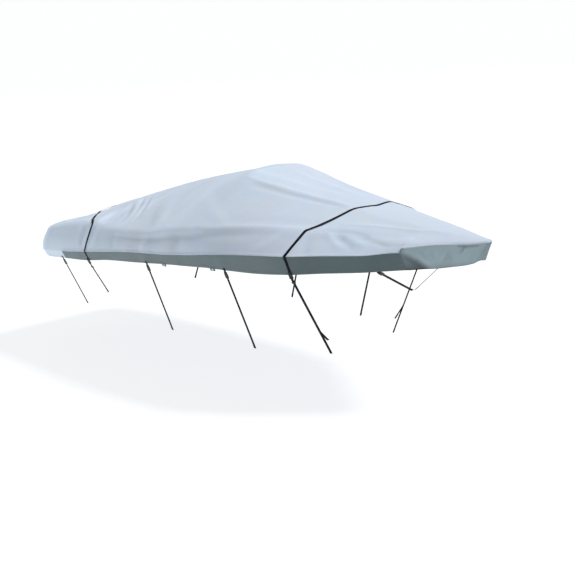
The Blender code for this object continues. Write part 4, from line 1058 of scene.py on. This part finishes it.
# ------------------------------------------------------------------ straps
# Black polypropylene webbing, 25 mm wide. Two straps are pulled tight over the top; four
# more on each side are sewn to the hem. Every free end is turned over and sewn.
WEB_WIDE, WEB_THICK, WEB_SHARP = 0.025, 0.0016, 50
INNER_CLEAR, SEAT = 0.0020, 0.0004      # off the cloth inside the skirt, and outside it
LIFT_ROUNDS, LIFT_STEPS = 6, 5
OVER_STEP, OVER_RAYS, OVER_NEAR = 0.040, 400, 5
OVER_RAY_FROM, SIDE_RAY_FROM = 3.0, 1.6
OVER_CENTRE, OVER_END, OVER_LEAD = 0.03, 0.034, 0.012
OVER = (
    # name, along, slid, bow, foot along, foot half, foot up
    ("aft", 1.14, 0.42, 3.0, 1.12, 0.820, -0.318),
    ("fore", 3.96, -0.20, 1.0, 3.92, 0.420, -0.600),
)
TIE_BEND, TIE_TURN, TIE_SLIDE = 0.006, 0.010, 0.040
SPARE, SPARE_TIP = ("fore", -0.365), (3.92, 0.452, -0.470)
HANGING = (
    # name, along, foot along, foot half, foot up
    ("stern", 0.59, 0.59, 0.750, -0.520),
    ("mid", 2.17, 2.17, 0.815, -0.565),
    ("fore_mid", 3.25, 3.25, 0.715, -0.595),
    ("nose", 4.59, 4.525, 0.020, -0.035),
)
SEWN_END, SEWN_STEP, SEWN_TIP = 0.038, 0.004, 0.0012
SEWN_SHORT, SEWN_NARROW = 0.010, 0.007  # the sewn box is this much smaller than the end
SEWN_LONG, SEWN_THREAD = 0.011, 0.0072  # the box on the hem, and the step of its thread
SEWN_TIP_PLIES, HEM_RULE = 1.4, 0.010   # the hem's slope is read over this height
ANCHOR_TOP, ANCHOR_LOW, ANCHOR_BEND, ANCHOR_END = 0.022, 0.006, 0.009, 0.014
BUCKLE_LONG, BUCKLE_WIDE, BUCKLE_THICK = 0.062, 0.034, 0.010
SIDES = (("starboard", -1), ("port", 1))

# Webbing is woven in narrow lengthwise ribs, with a slanting twill on each.
RIB, TWILL, EDGE_RUB = 0.0021, 0.0016, 0.002
ribbed, given, gives = start_group("ribbed_webbing")
lengthwise, crosswise = flat_pattern(ribbed)
rib = reckon(ribbed, "ABSOLUTE",
             reckon(ribbed, "SINE", reckon(ribbed, "MULTIPLY", crosswise, math.pi / RIB)))
slant = reckon(ribbed, "PINGPONG", crosswise, RIB)
twill = reckon(ribbed, "SINE", reckon(ribbed, "MULTIPLY",
                                      reckon(ribbed, "ADD", lengthwise, slant),
                                      math.tau / TWILL))
spot = object_place(ribbed)
fluff = grain(ribbed, spot, 700.0, 2.0)
handled = grain(ribbed, spot, 22.0, 3.0)
edge_rub = ribbed.nodes.new("ShaderNodeMapRange")
edge_rub.inputs["From Min"].default_value = WEB_WIDE / 2 - EDGE_RUB
edge_rub.inputs["From Max"].default_value = WEB_WIDE / 2
ribbed.links.new(reckon(ribbed, "ABSOLUTE", crosswise), edge_rub.inputs["Value"])
height = weighted(ribbed, 0.0, (rib, 0.7), (twill, 0.25), (fluff, 0.3))
tone = weighted(ribbed, 0.75, (rib, 0.35), (twill, 0.10), (fluff, 0.5), (handled, 0.6),
                (edge_rub.outputs["Result"], 0.9))
ribbed.links.new(toned(ribbed, given["Colour"], tone), gives["Colour"])
ribbed.links.new(weighted(ribbed, 0.62, (handled, 0.3), (rib, -0.08)), gives["Roughness"])
ribbed.links.new(bumped(ribbed, height, 0.0004), gives["Normal"])
black_web = finish_material("black_webbing", ribbed, (0.0045, 0.0055, 0.0090))
black_web.node_tree.nodes["Principled BSDF"].inputs["Specular IOR Level"].default_value = 0.12


class Frame:
    """One cross-section of a strap: its middle, its outward face and its width."""

    def __init__(self, place, out, side):
        self.place, self.out, self.side = place, out, side


def cloth_above(place, out, reach=0.12):
    """How far the cloth stands above a place, outward; negative where it lies below."""
    hit, _, _, distance = cloth_tree.ray_cast(place + out * reach, -out, reach * 1.6)
    return reach - distance if hit else -1.0


def lay_off_cloth(frames):
    """Lift the frames until the strap between them just clears the cloth."""
    for _ in range(LIFT_ROUNDS):
        lifts = [0.0] * len(frames)
        for k in range(len(frames) - 1):
            a, b = frames[k], frames[k + 1]
            for step in range(LIFT_STEPS + 1):
                out = a.out.lerp(b.out, step / LIFT_STEPS).normalized()
                for across in (-0.5, -0.25, 0.0, 0.25, 0.5):
                    place = a.place.lerp(b.place, step / LIFT_STEPS)
                    place += a.side.lerp(b.side, step / LIFT_STEPS) * across * WEB_WIDE
                    short = cloth_above(place, out) + SEAT
                    if short > 0:
                        lifts[k] = max(lifts[k], short)
                        lifts[k + 1] = max(lifts[k + 1], short)
        if not any(lifts):
            break
        for each, lift in zip(frames, lifts):
            each.place = each.place + each.out * lift
    return frames


def soften(frames, thick, rounds=2):
    """Cut the corners of a strap's route, so that it bends instead of kinking."""
    for _ in range(rounds):
        new, depth = [frames[0]], [thick[0]]
        for k in range(len(frames) - 1):
            a, b = frames[k], frames[k + 1]
            for t in (0.25, 0.75):
                new.append(Frame(a.place.lerp(b.place, t), a.out.lerp(b.out, t).normalized(),
                                 a.side.lerp(b.side, t).normalized()))
                depth.append(thick[k] + (thick[k + 1] - thick[k]) * t)
        frames, thick = new + [frames[-1]], depth + [thick[-1]]
    return frames, thick


WEB_SECTION = [(-0.5, 0.3), (-0.48, 0.0), (0.48, 0.0), (0.5, 0.3),
               (0.5, 0.7), (0.48, 1.0), (-0.48, 1.0), (-0.5, 0.7)]


def webbing(name, frames, thick):
    """Flat webbing with softly rounded edges; its UV map is in metres along and across."""
    points, flat, faces, run = [], [], [], 0.0
    corners = len(WEB_SECTION)
    for k, (each, depth) in enumerate(zip(frames, thick)):
        run += (each.place - frames[k - 1].place).length if k else 0.0
        for side, out in WEB_SECTION:
            points.append(each.place + each.side * side * WEB_WIDE + each.out * out * depth)
            flat.append((run, side * WEB_WIDE))
    for k in range(len(frames) - 1):
        a, b = corners * k, corners * (k + 1)
        for c in range(corners):
            n = (c + 1) % corners
            faces.append([a + c, b + c, b + n, a + n])
    end = corners * (len(frames) - 1)
    faces += [list(range(corners)), [end + c for c in reversed(range(corners))]]
    obj = add_mesh(name, points, faces, flat, WEB_SHARP, outward=True)
    obj.data.materials.append(black_web)
    return obj


strap_stitches = []


def sew_box(middle, way, side, out, long, wide):
    """A sewn box with a cross in it, the usual way to fasten webbing."""
    corners = [middle + way * u * long / 2 + side * v * wide / 2
               for u, v in ((-1, -1), (1, -1), (1, 1), (-1, 1))]
    for a, b in ((0, 1), (1, 2), (2, 3), (3, 0), (0, 2), (1, 3)):
        line = [(corners[a], out), (corners[b], out)]
        strap_stitches.extend(along_line(line, SEWN_THREAD))


def over_route(along, slid, bow):
    """Frames of a strap pulled tight over the cover, starboard to port."""
    low = section("hem_up", along) + OVER_END
    centre_up = section("seam_up", along) + OVER_CENTRE
    edge = section("edge_half", along)
    below = math.asin((centre_up - low) / section("seam_half", along))
    samples = []
    for k in range(OVER_RAYS + 1):
        angle = -below + (math.pi + 2 * below) * k / OVER_RAYS
        ray = Vector((0.0, -math.cos(angle), math.sin(angle)))
        x = along
        for _ in range(3):
            centre = world(x, 0.0, centre_up)
            hit, normal, _, _ = cloth_tree.ray_cast(centre + ray * OVER_RAY_FROM, -ray)
            inward = min(1.0, max(0.0, 1.0 - abs(hit.y) / edge))
            x = along - slid * (1 - (1 - inward) ** bow)
        samples.append((hit, normal))
    taut = []
    for k, (point, _) in enumerate(samples):
        while len(taut) > 1:
            a, b = samples[taut[-2]][0], samples[taut[-1]][0]
            if (b.y - a.y) * (point.z - b.z) - (b.z - a.z) * (point.y - b.y) < -1e-9:
                break
            taut.pop()
        taut.append(k)
    places = []
    for k, following in zip(taut, taut[1:]):
        a, b = samples[k][0], samples[following][0]
        parts = max(1, math.ceil((b - a).length / OVER_STEP))
        for part in range(parts):
            near = round(k + (following - k) * part / parts)
            place = a.lerp(b, part / parts)
            place.x = samples[near][0].x
            if not places or (place - places[-1][0]).length > OVER_STEP / 3:
                places.append((place, near))
    places[-1] = (samples[taut[-1]][0].copy(), taut[-1])
    frames = []
    for n, (here, k) in enumerate(places):
        before, after = places[max(0, n - 1)][0], places[min(len(places) - 1, n + 1)][0]
        tangent = ((here - before).normalized() + (after - here).normalized()).normalized()
        near = samples[max(0, k - OVER_NEAR):k + OVER_NEAR + 1]
        out = sum((normal for _, normal in near), Vector()).normalized()
        side = tangent.cross(out).normalized()
        frames.append(Frame(here.copy(), side.cross(tangent).normalized(), side))
    return lay_off_cloth(frames)


def straight_strap(start, foot, out, side):
    """Frames of a strap pulled straight to its foot, with a turned-over, sewn end."""
    down = (foot - start).normalized()
    side = (side - down * side.dot(down)).normalized()
    outward = side.cross(down).normalized()
    if outward.dot(out) < 0:
        outward = -outward
    length = (foot - start).length
    stops = (0.0, length / 2, length - SEWN_END - SEWN_STEP, length - SEWN_END,
             length - SEWN_TIP, length)
    thick = [WEB_THICK] * 3 + [2 * WEB_THICK] * 2 + [SEWN_TIP_PLIES * WEB_THICK]
    middle = start + down * (length - SEWN_END / 2) + outward * 2 * WEB_THICK
    for place, facing in ((middle, outward), (middle - outward * 2 * WEB_THICK, -outward)):
        sew_box(place, down, side, facing, SEWN_END - SEWN_SHORT, WEB_WIDE - SEWN_NARROW)
    return [Frame(start + down * s, outward, side) for s in stops], thick


def outer_face(along, height, sign):
    start = world(along, sign * SIDE_RAY_FROM, height)
    hit, normal, _, _ = cloth_tree.ray_cast(start, Vector((0.0, -sign, 0.0)))
    return hit, normal


def hem_frame(along, sign, above_hem, inside=False):
    """A frame on the skirt this far above the hem, its width along the hem."""
    height = section("hem_up", along) + above_hem
    place, normal = outer_face(along, height, sign)
    higher, _ = outer_face(along, height + HEM_RULE, sign)
    down = (place - higher).normalized()
    side = down.cross(normal).normalized()
    out = side.cross(down).normalized()
    if out.dot(normal) < 0:
        out = -out
    if inside:
        return Frame(place - out * (CLOTH + INNER_CLEAR), -out, side), down
    return Frame(place + out * SEAT, out, side), down


def rise_off_cloth(start, down, out, side, long, wide):
    """How far a flat piece has to be lifted to lie on the cloth without touching it."""
    rise = 0.0
    for v in (0.0, 0.25, 0.5, 0.75, 1.0):
        for u in (-0.5, -0.25, 0.0, 0.25, 0.5):
            rise = max(rise, cloth_above(start + down * v * long + side * u * wide, out) + SEAT)
    return rise


def add_strap(name, frames, thick, node, softened=True):
    if softened:
        frames, thick = soften(frames, thick)
    strap = webbing(name, frames, thick)
    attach(strap, "root")
    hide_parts(node)


buckle_places, slide_places = [], []
for name, along, slid, bow, foot_along, foot_half, foot_up in OVER:
    frames = over_route(along, slid, bow)
    ends = []
    for end_frame, inner in ((frames[0], frames[1]), (frames[-1], frames[-2])):
        down = (end_frame.place - inner.place).normalized()
        out = (end_frame.out - down * end_frame.out.dot(down)).normalized()
        start = end_frame.place + down * (OVER_LEAD + GAP)
        rise = rise_off_cloth(start, down, out, end_frame.side, BUCKLE_LONG, BUCKLE_WIDE)
        middle = out * (rise + (BUCKLE_THICK - WEB_THICK) / 2)
        ends.append((start + out * rise, down, out, end_frame.side))
        lead = Frame(end_frame.place + down * OVER_LEAD + middle, out, end_frame.side)
        frames.insert(0 if inner is frames[1] else len(frames), lead)
    add_strap(f"over_{name}", frames, [WEB_THICK] * len(frames), f"strap_{name}_over", False)
    for (side_name, sign), (start, down, out, side) in zip(SIDES, ends):
        label = f"{name}_{side_name}"
        foot = world(foot_along, sign * foot_half, foot_up)
        buckle_places.append((label, start, down, out))
        low = start + down * (BUCKLE_LONG + GAP) + out * (BUCKLE_THICK - WEB_THICK) / 2
        bend = low + down * TIE_BEND
        tie, thick = straight_strap(bend, foot, out, side)
        line = (foot - bend).normalized()
        straight_out, straight_side = tie[0].out, tie[0].side
        tie[0] = Frame(bend, (out + straight_out).normalized(), straight_side)
        tie.insert(0, Frame(low, out, side))
        tie.insert(2, Frame(bend + line * TIE_TURN, straight_out, straight_side))
        add_strap(f"tie_{label}", tie, [WEB_THICK] * 2 + thick, f"strap_{label}")
        middle = bend + line * TIE_SLIDE + straight_out * WEB_THICK / 2
        slide_places.append((label, middle, line, straight_out))
        if name == SPARE[0]:
            leaves = (SPARE[1] - HELD_UP - bend.z) / (foot.z - bend.z)
            start = bend.lerp(foot, leaves) - straight_out * (WEB_THICK + GAP)
            turn = start + line * TIE_TURN
            tip_along, half, height = SPARE_TIP
            tip = world(tip_along, sign * half, height)
            loose, thick = straight_strap(turn, tip, straight_out, straight_side)
            loose[0] = Frame(turn, straight_out, straight_side)
            loose.insert(0, Frame(start, straight_out, straight_side))
            add_strap(f"loose_{label}", loose, [WEB_THICK] + thick, f"spare_{label}")

for name, along, foot_along, foot_half, foot_up in HANGING:
    inside = name == "nose"
    for side_name, sign in SIDES:
        label = f"{name}_{side_name}"
        foot = world(foot_along, sign * foot_half, foot_up)
        top, _ = hem_frame(along, sign, ANCHOR_TOP, inside)
        low, down = hem_frame(along, sign, ANCHOR_LOW, inside)
        bend = low.place + down * ANCHOR_BEND
        line = (foot - bend).normalized()
        side = (low.side - line * low.side.dot(line)).normalized()
        out = side.cross(line).normalized()
        out = out if out.dot(low.out) > 0 else -out
        end = Frame(bend + line * ANCHOR_END, out, side)
        turning = Frame(bend, (low.out + out).normalized(), (low.side + side).normalized())
        frames = [top, low, turning, end]
        if not inside:
            lay_off_cloth(frames[:2])
        way = (low.place - top.place).normalized()
        sew_box(top.place.lerp(low.place, 0.5) + low.out * WEB_THICK, way, low.side, low.out,
                SEWN_LONG, WEB_WIDE - SEWN_NARROW)
        add_strap(f"sewn_on_{label}", frames, [WEB_THICK] * 4, f"anchor_{label}")
        start = end.place + end.out * WEB_THICK / 2 + line * GAP
        buckle_places.append((label, start - end.out * BUCKLE_THICK / 2, line, end.out))
        below = start + line * (BUCKLE_LONG + GAP) - end.out * WEB_THICK / 2
        frames, thick = straight_strap(below, foot, end.out, side)
        add_strap(f"tie_{label}", frames, thick, f"strap_{label}")
stitching("strap_stitches", strap_stitches, black_thread)


# ------------------------------------------------------------------ buckles
# Black moulded side-release buckles. The clip's two arms show in the windows of the
# body, and the webbing goes round a bar at each end. One is modelled and then copied.
moulded, given, gives = start_group("moulded_plastic")
spot = object_place(moulded)
spark = grain(moulded, spot, 1800.0, 2.0)
flow = grain(moulded, spot, 60.0, 2.0)
scuffs = grain(moulded, spot, 150.0, 3.0, (1.0, 5.0, 1.0))
edged = moulded.nodes.new("ShaderNodeNewGeometry").outputs["Pointiness"]
worn = moulded.nodes.new("ShaderNodeMapRange")
worn.inputs["From Min"].default_value = 0.52
worn.inputs["From Max"].default_value = 0.60
moulded.links.new(edged, worn.inputs["Value"])
tone = weighted(moulded, 1.0, (flow, 0.5), (scuffs, 0.6), (worn.outputs["Result"], 1.4))
moulded.links.new(toned(moulded, given["Colour"], tone), gives["Colour"])
dullness = weighted(moulded, 0.42, (scuffs, 0.35), (flow, 0.15), (worn.outputs["Result"], 0.12))
moulded.links.new(dullness, gives["Roughness"])
moulded.links.new(bumped(moulded, spark, 0.00006), gives["Normal"])
black_plastic = finish_material("black_acetal", moulded, (0.012, 0.013, 0.015))


def add_block(size, middle, rounded=0.0, sides=0.0):
    """A block; sides rounds its upright edges and rounded all of its edges."""
    bpy.ops.object.select_all(action="DESELECT")
    bpy.ops.mesh.primitive_cube_add(size=1.0)
    block = bpy.context.active_object
    bpy.ops.object.mode_set(mode="EDIT")
    bpy.ops.mesh.select_all(action="SELECT")
    bpy.ops.transform.resize(value=size)
    bpy.ops.transform.translate(value=middle)
    if sides:
        bpy.ops.mesh.select_all(action="DESELECT")
        bm = bmesh.from_edit_mesh(block.data)
        for edge in bm.edges:
            a, b = edge.verts[0].co, edge.verts[1].co
            edge.select = abs(a.z - b.z) > size[2] / 2
        bmesh.update_edit_mesh(block.data)
        bpy.ops.mesh.bevel(offset=sides, segments=4, affect="EDGES")
    bpy.ops.object.mode_set(mode="OBJECT")
    if rounded:
        round_edges(block, rounded)
    return block


def round_edges(obj, width, segments=2):
    bpy.context.view_layer.objects.active = obj
    bevel = obj.modifiers.new("edges", "BEVEL")
    bevel.width, bevel.segments, bevel.limit_method = width, segments, "ANGLE"
    bevel.angle_limit = math.radians(40)
    bpy.ops.object.modifier_apply(modifier="edges")


def cut_away(obj, cutters):
    for cutter in cutters:
        bpy.context.view_layer.objects.active = obj
        cut = obj.modifiers.new("cut", "BOOLEAN")
        cut.operation, cut.object, cut.solver = "DIFFERENCE", cutter, "EXACT"
        bpy.ops.object.modifier_apply(modifier="cut")
        bpy.data.objects.remove(cutter)


def merge(objects):
    bpy.ops.object.select_all(action="DESELECT")
    for obj in objects:
        obj.select_set(True)
    bpy.context.view_layer.objects.active = objects[0]
    bpy.ops.object.join()
    bpy.ops.object.shade_smooth_by_angle(angle=math.radians(35))
    return objects[0]


def place_copies(model, name, places, mat):
    """A copy of the model, with its own mesh, at each place; then the model goes."""
    for label, start, down, out in places:
        turn = Matrix((down.cross(out), down, out)).transposed().to_4x4()
        mesh = model.data.copy()
        mesh.transform(Matrix.Translation(start) @ turn)
        mesh.materials.append(mat)
        obj = bpy.data.objects.new(f"{name}_{label}_moulded", mesh)
        bpy.context.collection.objects.link(obj)
        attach(obj, "root")
        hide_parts(f"{name}_{label}")
    bpy.data.objects.remove(model)


# Each block of the buckle is given by its size and its middle: across, along and up.
MID, EDGE = BUCKLE_THICK / 2, 0.0006
BAR_SLOT, SLOT_EDGE = (0.0262, 0.0042, 0.0200), 0.0015
body = add_block((BUCKLE_WIDE, 0.0395, 0.0096), (0.0, 0.04225, MID), sides=0.004)
cut_away(body, [
    add_block((0.009, 0.0150, 0.0056), (-0.0165, 0.0365, MID)),
    add_block((0.009, 0.0150, 0.0056), (0.0165, 0.0365, MID)),
    add_block((0.0265, 0.010, 0.0056), (0.0, 0.0255, MID)),
    add_block((0.0265, 0.0046, 0.0200), (0.0, 0.0525, MID), sides=SLOT_EDGE),
    add_block((0.0265, 0.0030, 0.0040), (0.0, 0.0603, 0.0085)),
])
round_edges(body, EDGE)
clip = add_block((0.031, 0.0205, 0.0080), (0.0, 0.01035, MID), sides=0.003)
cut_away(clip, [add_block(BAR_SLOT, (0.0, at, MID), sides=SLOT_EDGE) for at in (0.0060, 0.0142)])
round_edges(clip, EDGE)
arms = []
for sign in (-1, 1):
    arm = add_block((0.0044, 0.0250, 0.0050), (sign * 0.0115, 0.0320, MID), sides=0.0012)
    catch = add_block((0.0060, 0.0125, 0.0050), (sign * 0.0138, 0.0366, MID), sides=0.0022)
    grips = [add_block((0.0020, 0.0008, 0.0060), (sign * 0.0170, at, MID))
             for at in (0.0336, 0.0358, 0.0380, 0.0402)]
    cut_away(catch, grips)
    round_edges(arm, 0.0004)
    arms += [arm, catch]
guide = add_block((0.0060, 0.0160, 0.0046), (0.0, 0.0270, MID), 0.0005, sides=SLOT_EDGE)
buckle = merge([body, clip, guide] + arms)
place_copies(buckle, "buckle", buckle_places, black_plastic)

# The slides on the two pairs of ties: a flat sleeve that holds two plies together.
SLIDE_TALL, SLIDE_WIDE, SLIDE_THICK, SLIDE_BAR = 0.016, 0.036, 0.007, 0.0022
SLIDE_GROOVE = (0.0200, 0.0012, 0.0012)
sleeve = add_block((SLIDE_WIDE, SLIDE_TALL, SLIDE_THICK), (0.0, 0.0, 0.0))
bpy.ops.object.mode_set(mode="EDIT")
bpy.ops.mesh.select_all(action="DESELECT")
bm = bmesh.from_edit_mesh(sleeve.data)
for face in bm.faces:
    face.select = abs(face.normal.y) > 0.9
bmesh.update_edit_mesh(sleeve.data)
bpy.ops.mesh.inset(thickness=SLIDE_BAR)
bpy.ops.mesh.bridge_edge_loops()
bpy.ops.object.mode_set(mode="OBJECT")
cut_away(sleeve, [add_block(SLIDE_GROOVE, (0.0, at, SLIDE_THICK / 2))
                  for at in (-0.0036, 0.0, 0.0036)])
round_edges(sleeve, EDGE)
merge([sleeve])
place_copies(sleeve, "slide", slide_places, black_plastic)


# ------------------------------------------------------------------ eyelet tabs
# Four small tabs of the skirt's cloth hang past the hem, two on each side. Each is sewn
# round its border and has a dull steel eyelet set in it.
TAB_ALONG = (2.43, 3.10)
TAB_LONG, TAB_TALL, TAB_THICK = 0.062, 0.034, 0.0030
TAB_DOWN, TAB_SQUARE, TAB_CORNERS = 0.007, 0.45, 48
TAB_SEWN, TAB_THREAD = 0.86, 0.0085     # share of the outline, and the step of its thread
EYELET_OUTER, EYELET_HOLE, EYELET_DOWN = 0.0115, 0.0060, 0.004
HOLE_MARGIN = 0.0008


def tab_outline(share, hole=False):
    """A squarish ring on the tab, or the round of its hole, as (across, down)."""
    ring = []
    for k in range(TAB_CORNERS):
        angle = math.tau * (k + 0.5) / TAB_CORNERS
        u, v = math.cos(angle), math.sin(angle)
        if hole:
            radius = EYELET_HOLE + HOLE_MARGIN
            ring.append((u * radius, v * radius + EYELET_DOWN))
        else:
            ring.append((math.copysign(abs(u) ** TAB_SQUARE, u) * TAB_LONG / 2 * share,
                         math.copysign(abs(v) ** TAB_SQUARE, v) * TAB_TALL / 2 * share))
    return ring


tab_loops = [(tab_outline(0, True), 0.0), (tab_outline(0.97), 0.0), (tab_outline(1.0), 0.0008),
             (tab_outline(1.0), TAB_THICK - 0.0008), (tab_outline(0.97), TAB_THICK - 0.0001),
             (tab_outline(0.90), TAB_THICK), (tab_outline(0.84), TAB_THICK - 0.0004),
             (tab_outline(0, True), TAB_THICK - 0.0002)]
eyelet_places, tab_stitches = [], []
for number, along in enumerate(TAB_ALONG, 1):
    for side_name, sign in SIDES:
        label = f"{number}_{side_name}"
        hem, down = hem_frame(along, sign, ANCHOR_LOW)
        out, side = hem.out, hem.side
        middle = hem.place + down * (TAB_DOWN + ANCHOR_LOW)
        top = middle - down * TAB_TALL / 2
        middle += out * rise_off_cloth(top, down, out, side, TAB_TALL, TAB_LONG)
        points, flat, faces = [], [], []
        for ring, depth in tab_loops:
            points += [middle + side * u + down * v + out * depth for u, v in ring]
            flat += ring
        for level in range(len(tab_loops)):
            a, b = level * TAB_CORNERS, (level + 1) % len(tab_loops) * TAB_CORNERS
            for k in range(TAB_CORNERS):
                n = (k + 1) % TAB_CORNERS
                faces.append([a + k, a + n, b + n, b + k])
        tab = add_mesh(f"tab_{label}_cloth", points, faces, flat, CLOTH_SHARP, outward=True)
        tab.data.materials.append(skirt_cloth)
        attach(tab, "root")
        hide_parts(f"tab_{label}")
        border = [(middle + side * u + down * v + out * (TAB_THICK - 0.0003), out)
                  for u, v in tab_outline(TAB_SEWN)]
        tab_stitches += along_line(border, TAB_THREAD, closed=True)
        eyelet_at = middle + down * EYELET_DOWN + out * (TAB_THICK + GAP)
        eyelet_places.append((label, eyelet_at, down, out))
stitching("tab_stitches", tab_stitches, grey_thread)

dulled, given, gives = start_group("dull_metal")
spot = object_place(dulled)
bloom = grain(dulled, spot, 260.0, 3.0)
scratches = grain(dulled, spot, 900.0, 2.0, (1.0, 1.0, 7.0))
tone = weighted(dulled, 0.95, (bloom, 0.6), (scratches, 0.25))
height = weighted(dulled, 0.0, (bloom, 1.0), (scratches, 0.6))
dulled.links.new(toned(dulled, given["Colour"], tone), gives["Colour"])
dulled.links.new(weighted(dulled, 0.36, (bloom, 0.5), (scratches, 0.2)), gives["Roughness"])
dulled.links.new(bumped(dulled, height, 0.0001), gives["Normal"])
dull_steel = finish_material("dull_steel", dulled, (0.60, 0.61, 0.62))
dull_steel.node_tree.nodes["Principled BSDF"].inputs["Metallic"].default_value = 1.0


def flat_ring(outer, inner, height, flatness, around):
    """A ring with a flattened round section, its middle at this height."""
    bpy.ops.object.select_all(action="DESELECT")
    bpy.ops.mesh.primitive_torus_add(major_segments=EYELET_SEGMENTS, minor_segments=around,
                                     location=(0.0, 0.0, height),
                                     major_radius=(outer + inner) / 2,
                                     minor_radius=(outer - inner) / 2)
    bpy.ops.object.mode_set(mode="EDIT")
    bpy.ops.mesh.select_all(action="SELECT")
    bpy.ops.transform.resize(value=(1.0, 1.0, flatness))
    bpy.ops.object.mode_set(mode="OBJECT")
    return bpy.context.active_object


# The eyelet: a rolled flange outside, a barrel through the tab and a washer behind it.
EYELET_SEGMENTS, FLANGE_UP = 36, 0.0007
BARREL_MARGIN, BARREL_TALL, BARREL_UP, BARREL_WALL = 0.0004, 0.0048, -0.0017, 0.0005
WASHER_OUTER, WASHER_INNER, WASHER_GAP = 0.0098, 0.0060, 0.0004
rolled = flat_ring(EYELET_OUTER, EYELET_HOLE, FLANGE_UP, 0.26, 12)
bpy.ops.object.select_all(action="DESELECT")
bpy.ops.mesh.primitive_cylinder_add(vertices=EYELET_SEGMENTS, radius=EYELET_HOLE + BARREL_MARGIN,
                                    depth=BARREL_TALL, end_fill_type="NOTHING",
                                    location=(0.0, 0.0, BARREL_UP))
barrel = bpy.context.active_object
thicken = barrel.modifiers.new("wall", "SOLIDIFY")
thicken.thickness, thicken.offset = BARREL_WALL, 0.0
bpy.ops.object.modifier_apply(modifier="wall")
washer = flat_ring(WASHER_OUTER, WASHER_INNER, -TAB_THICK - GAP - WASHER_GAP, 0.2, 10)
for part in (rolled, barrel, washer):
    part.select_set(True)
bpy.context.view_layer.objects.active = rolled
bpy.ops.object.transform_apply(location=True, rotation=True, scale=True)
eyelet = merge([rolled, barrel, washer])
place_copies(eyelet, "eyelet", eyelet_places, dull_steel)
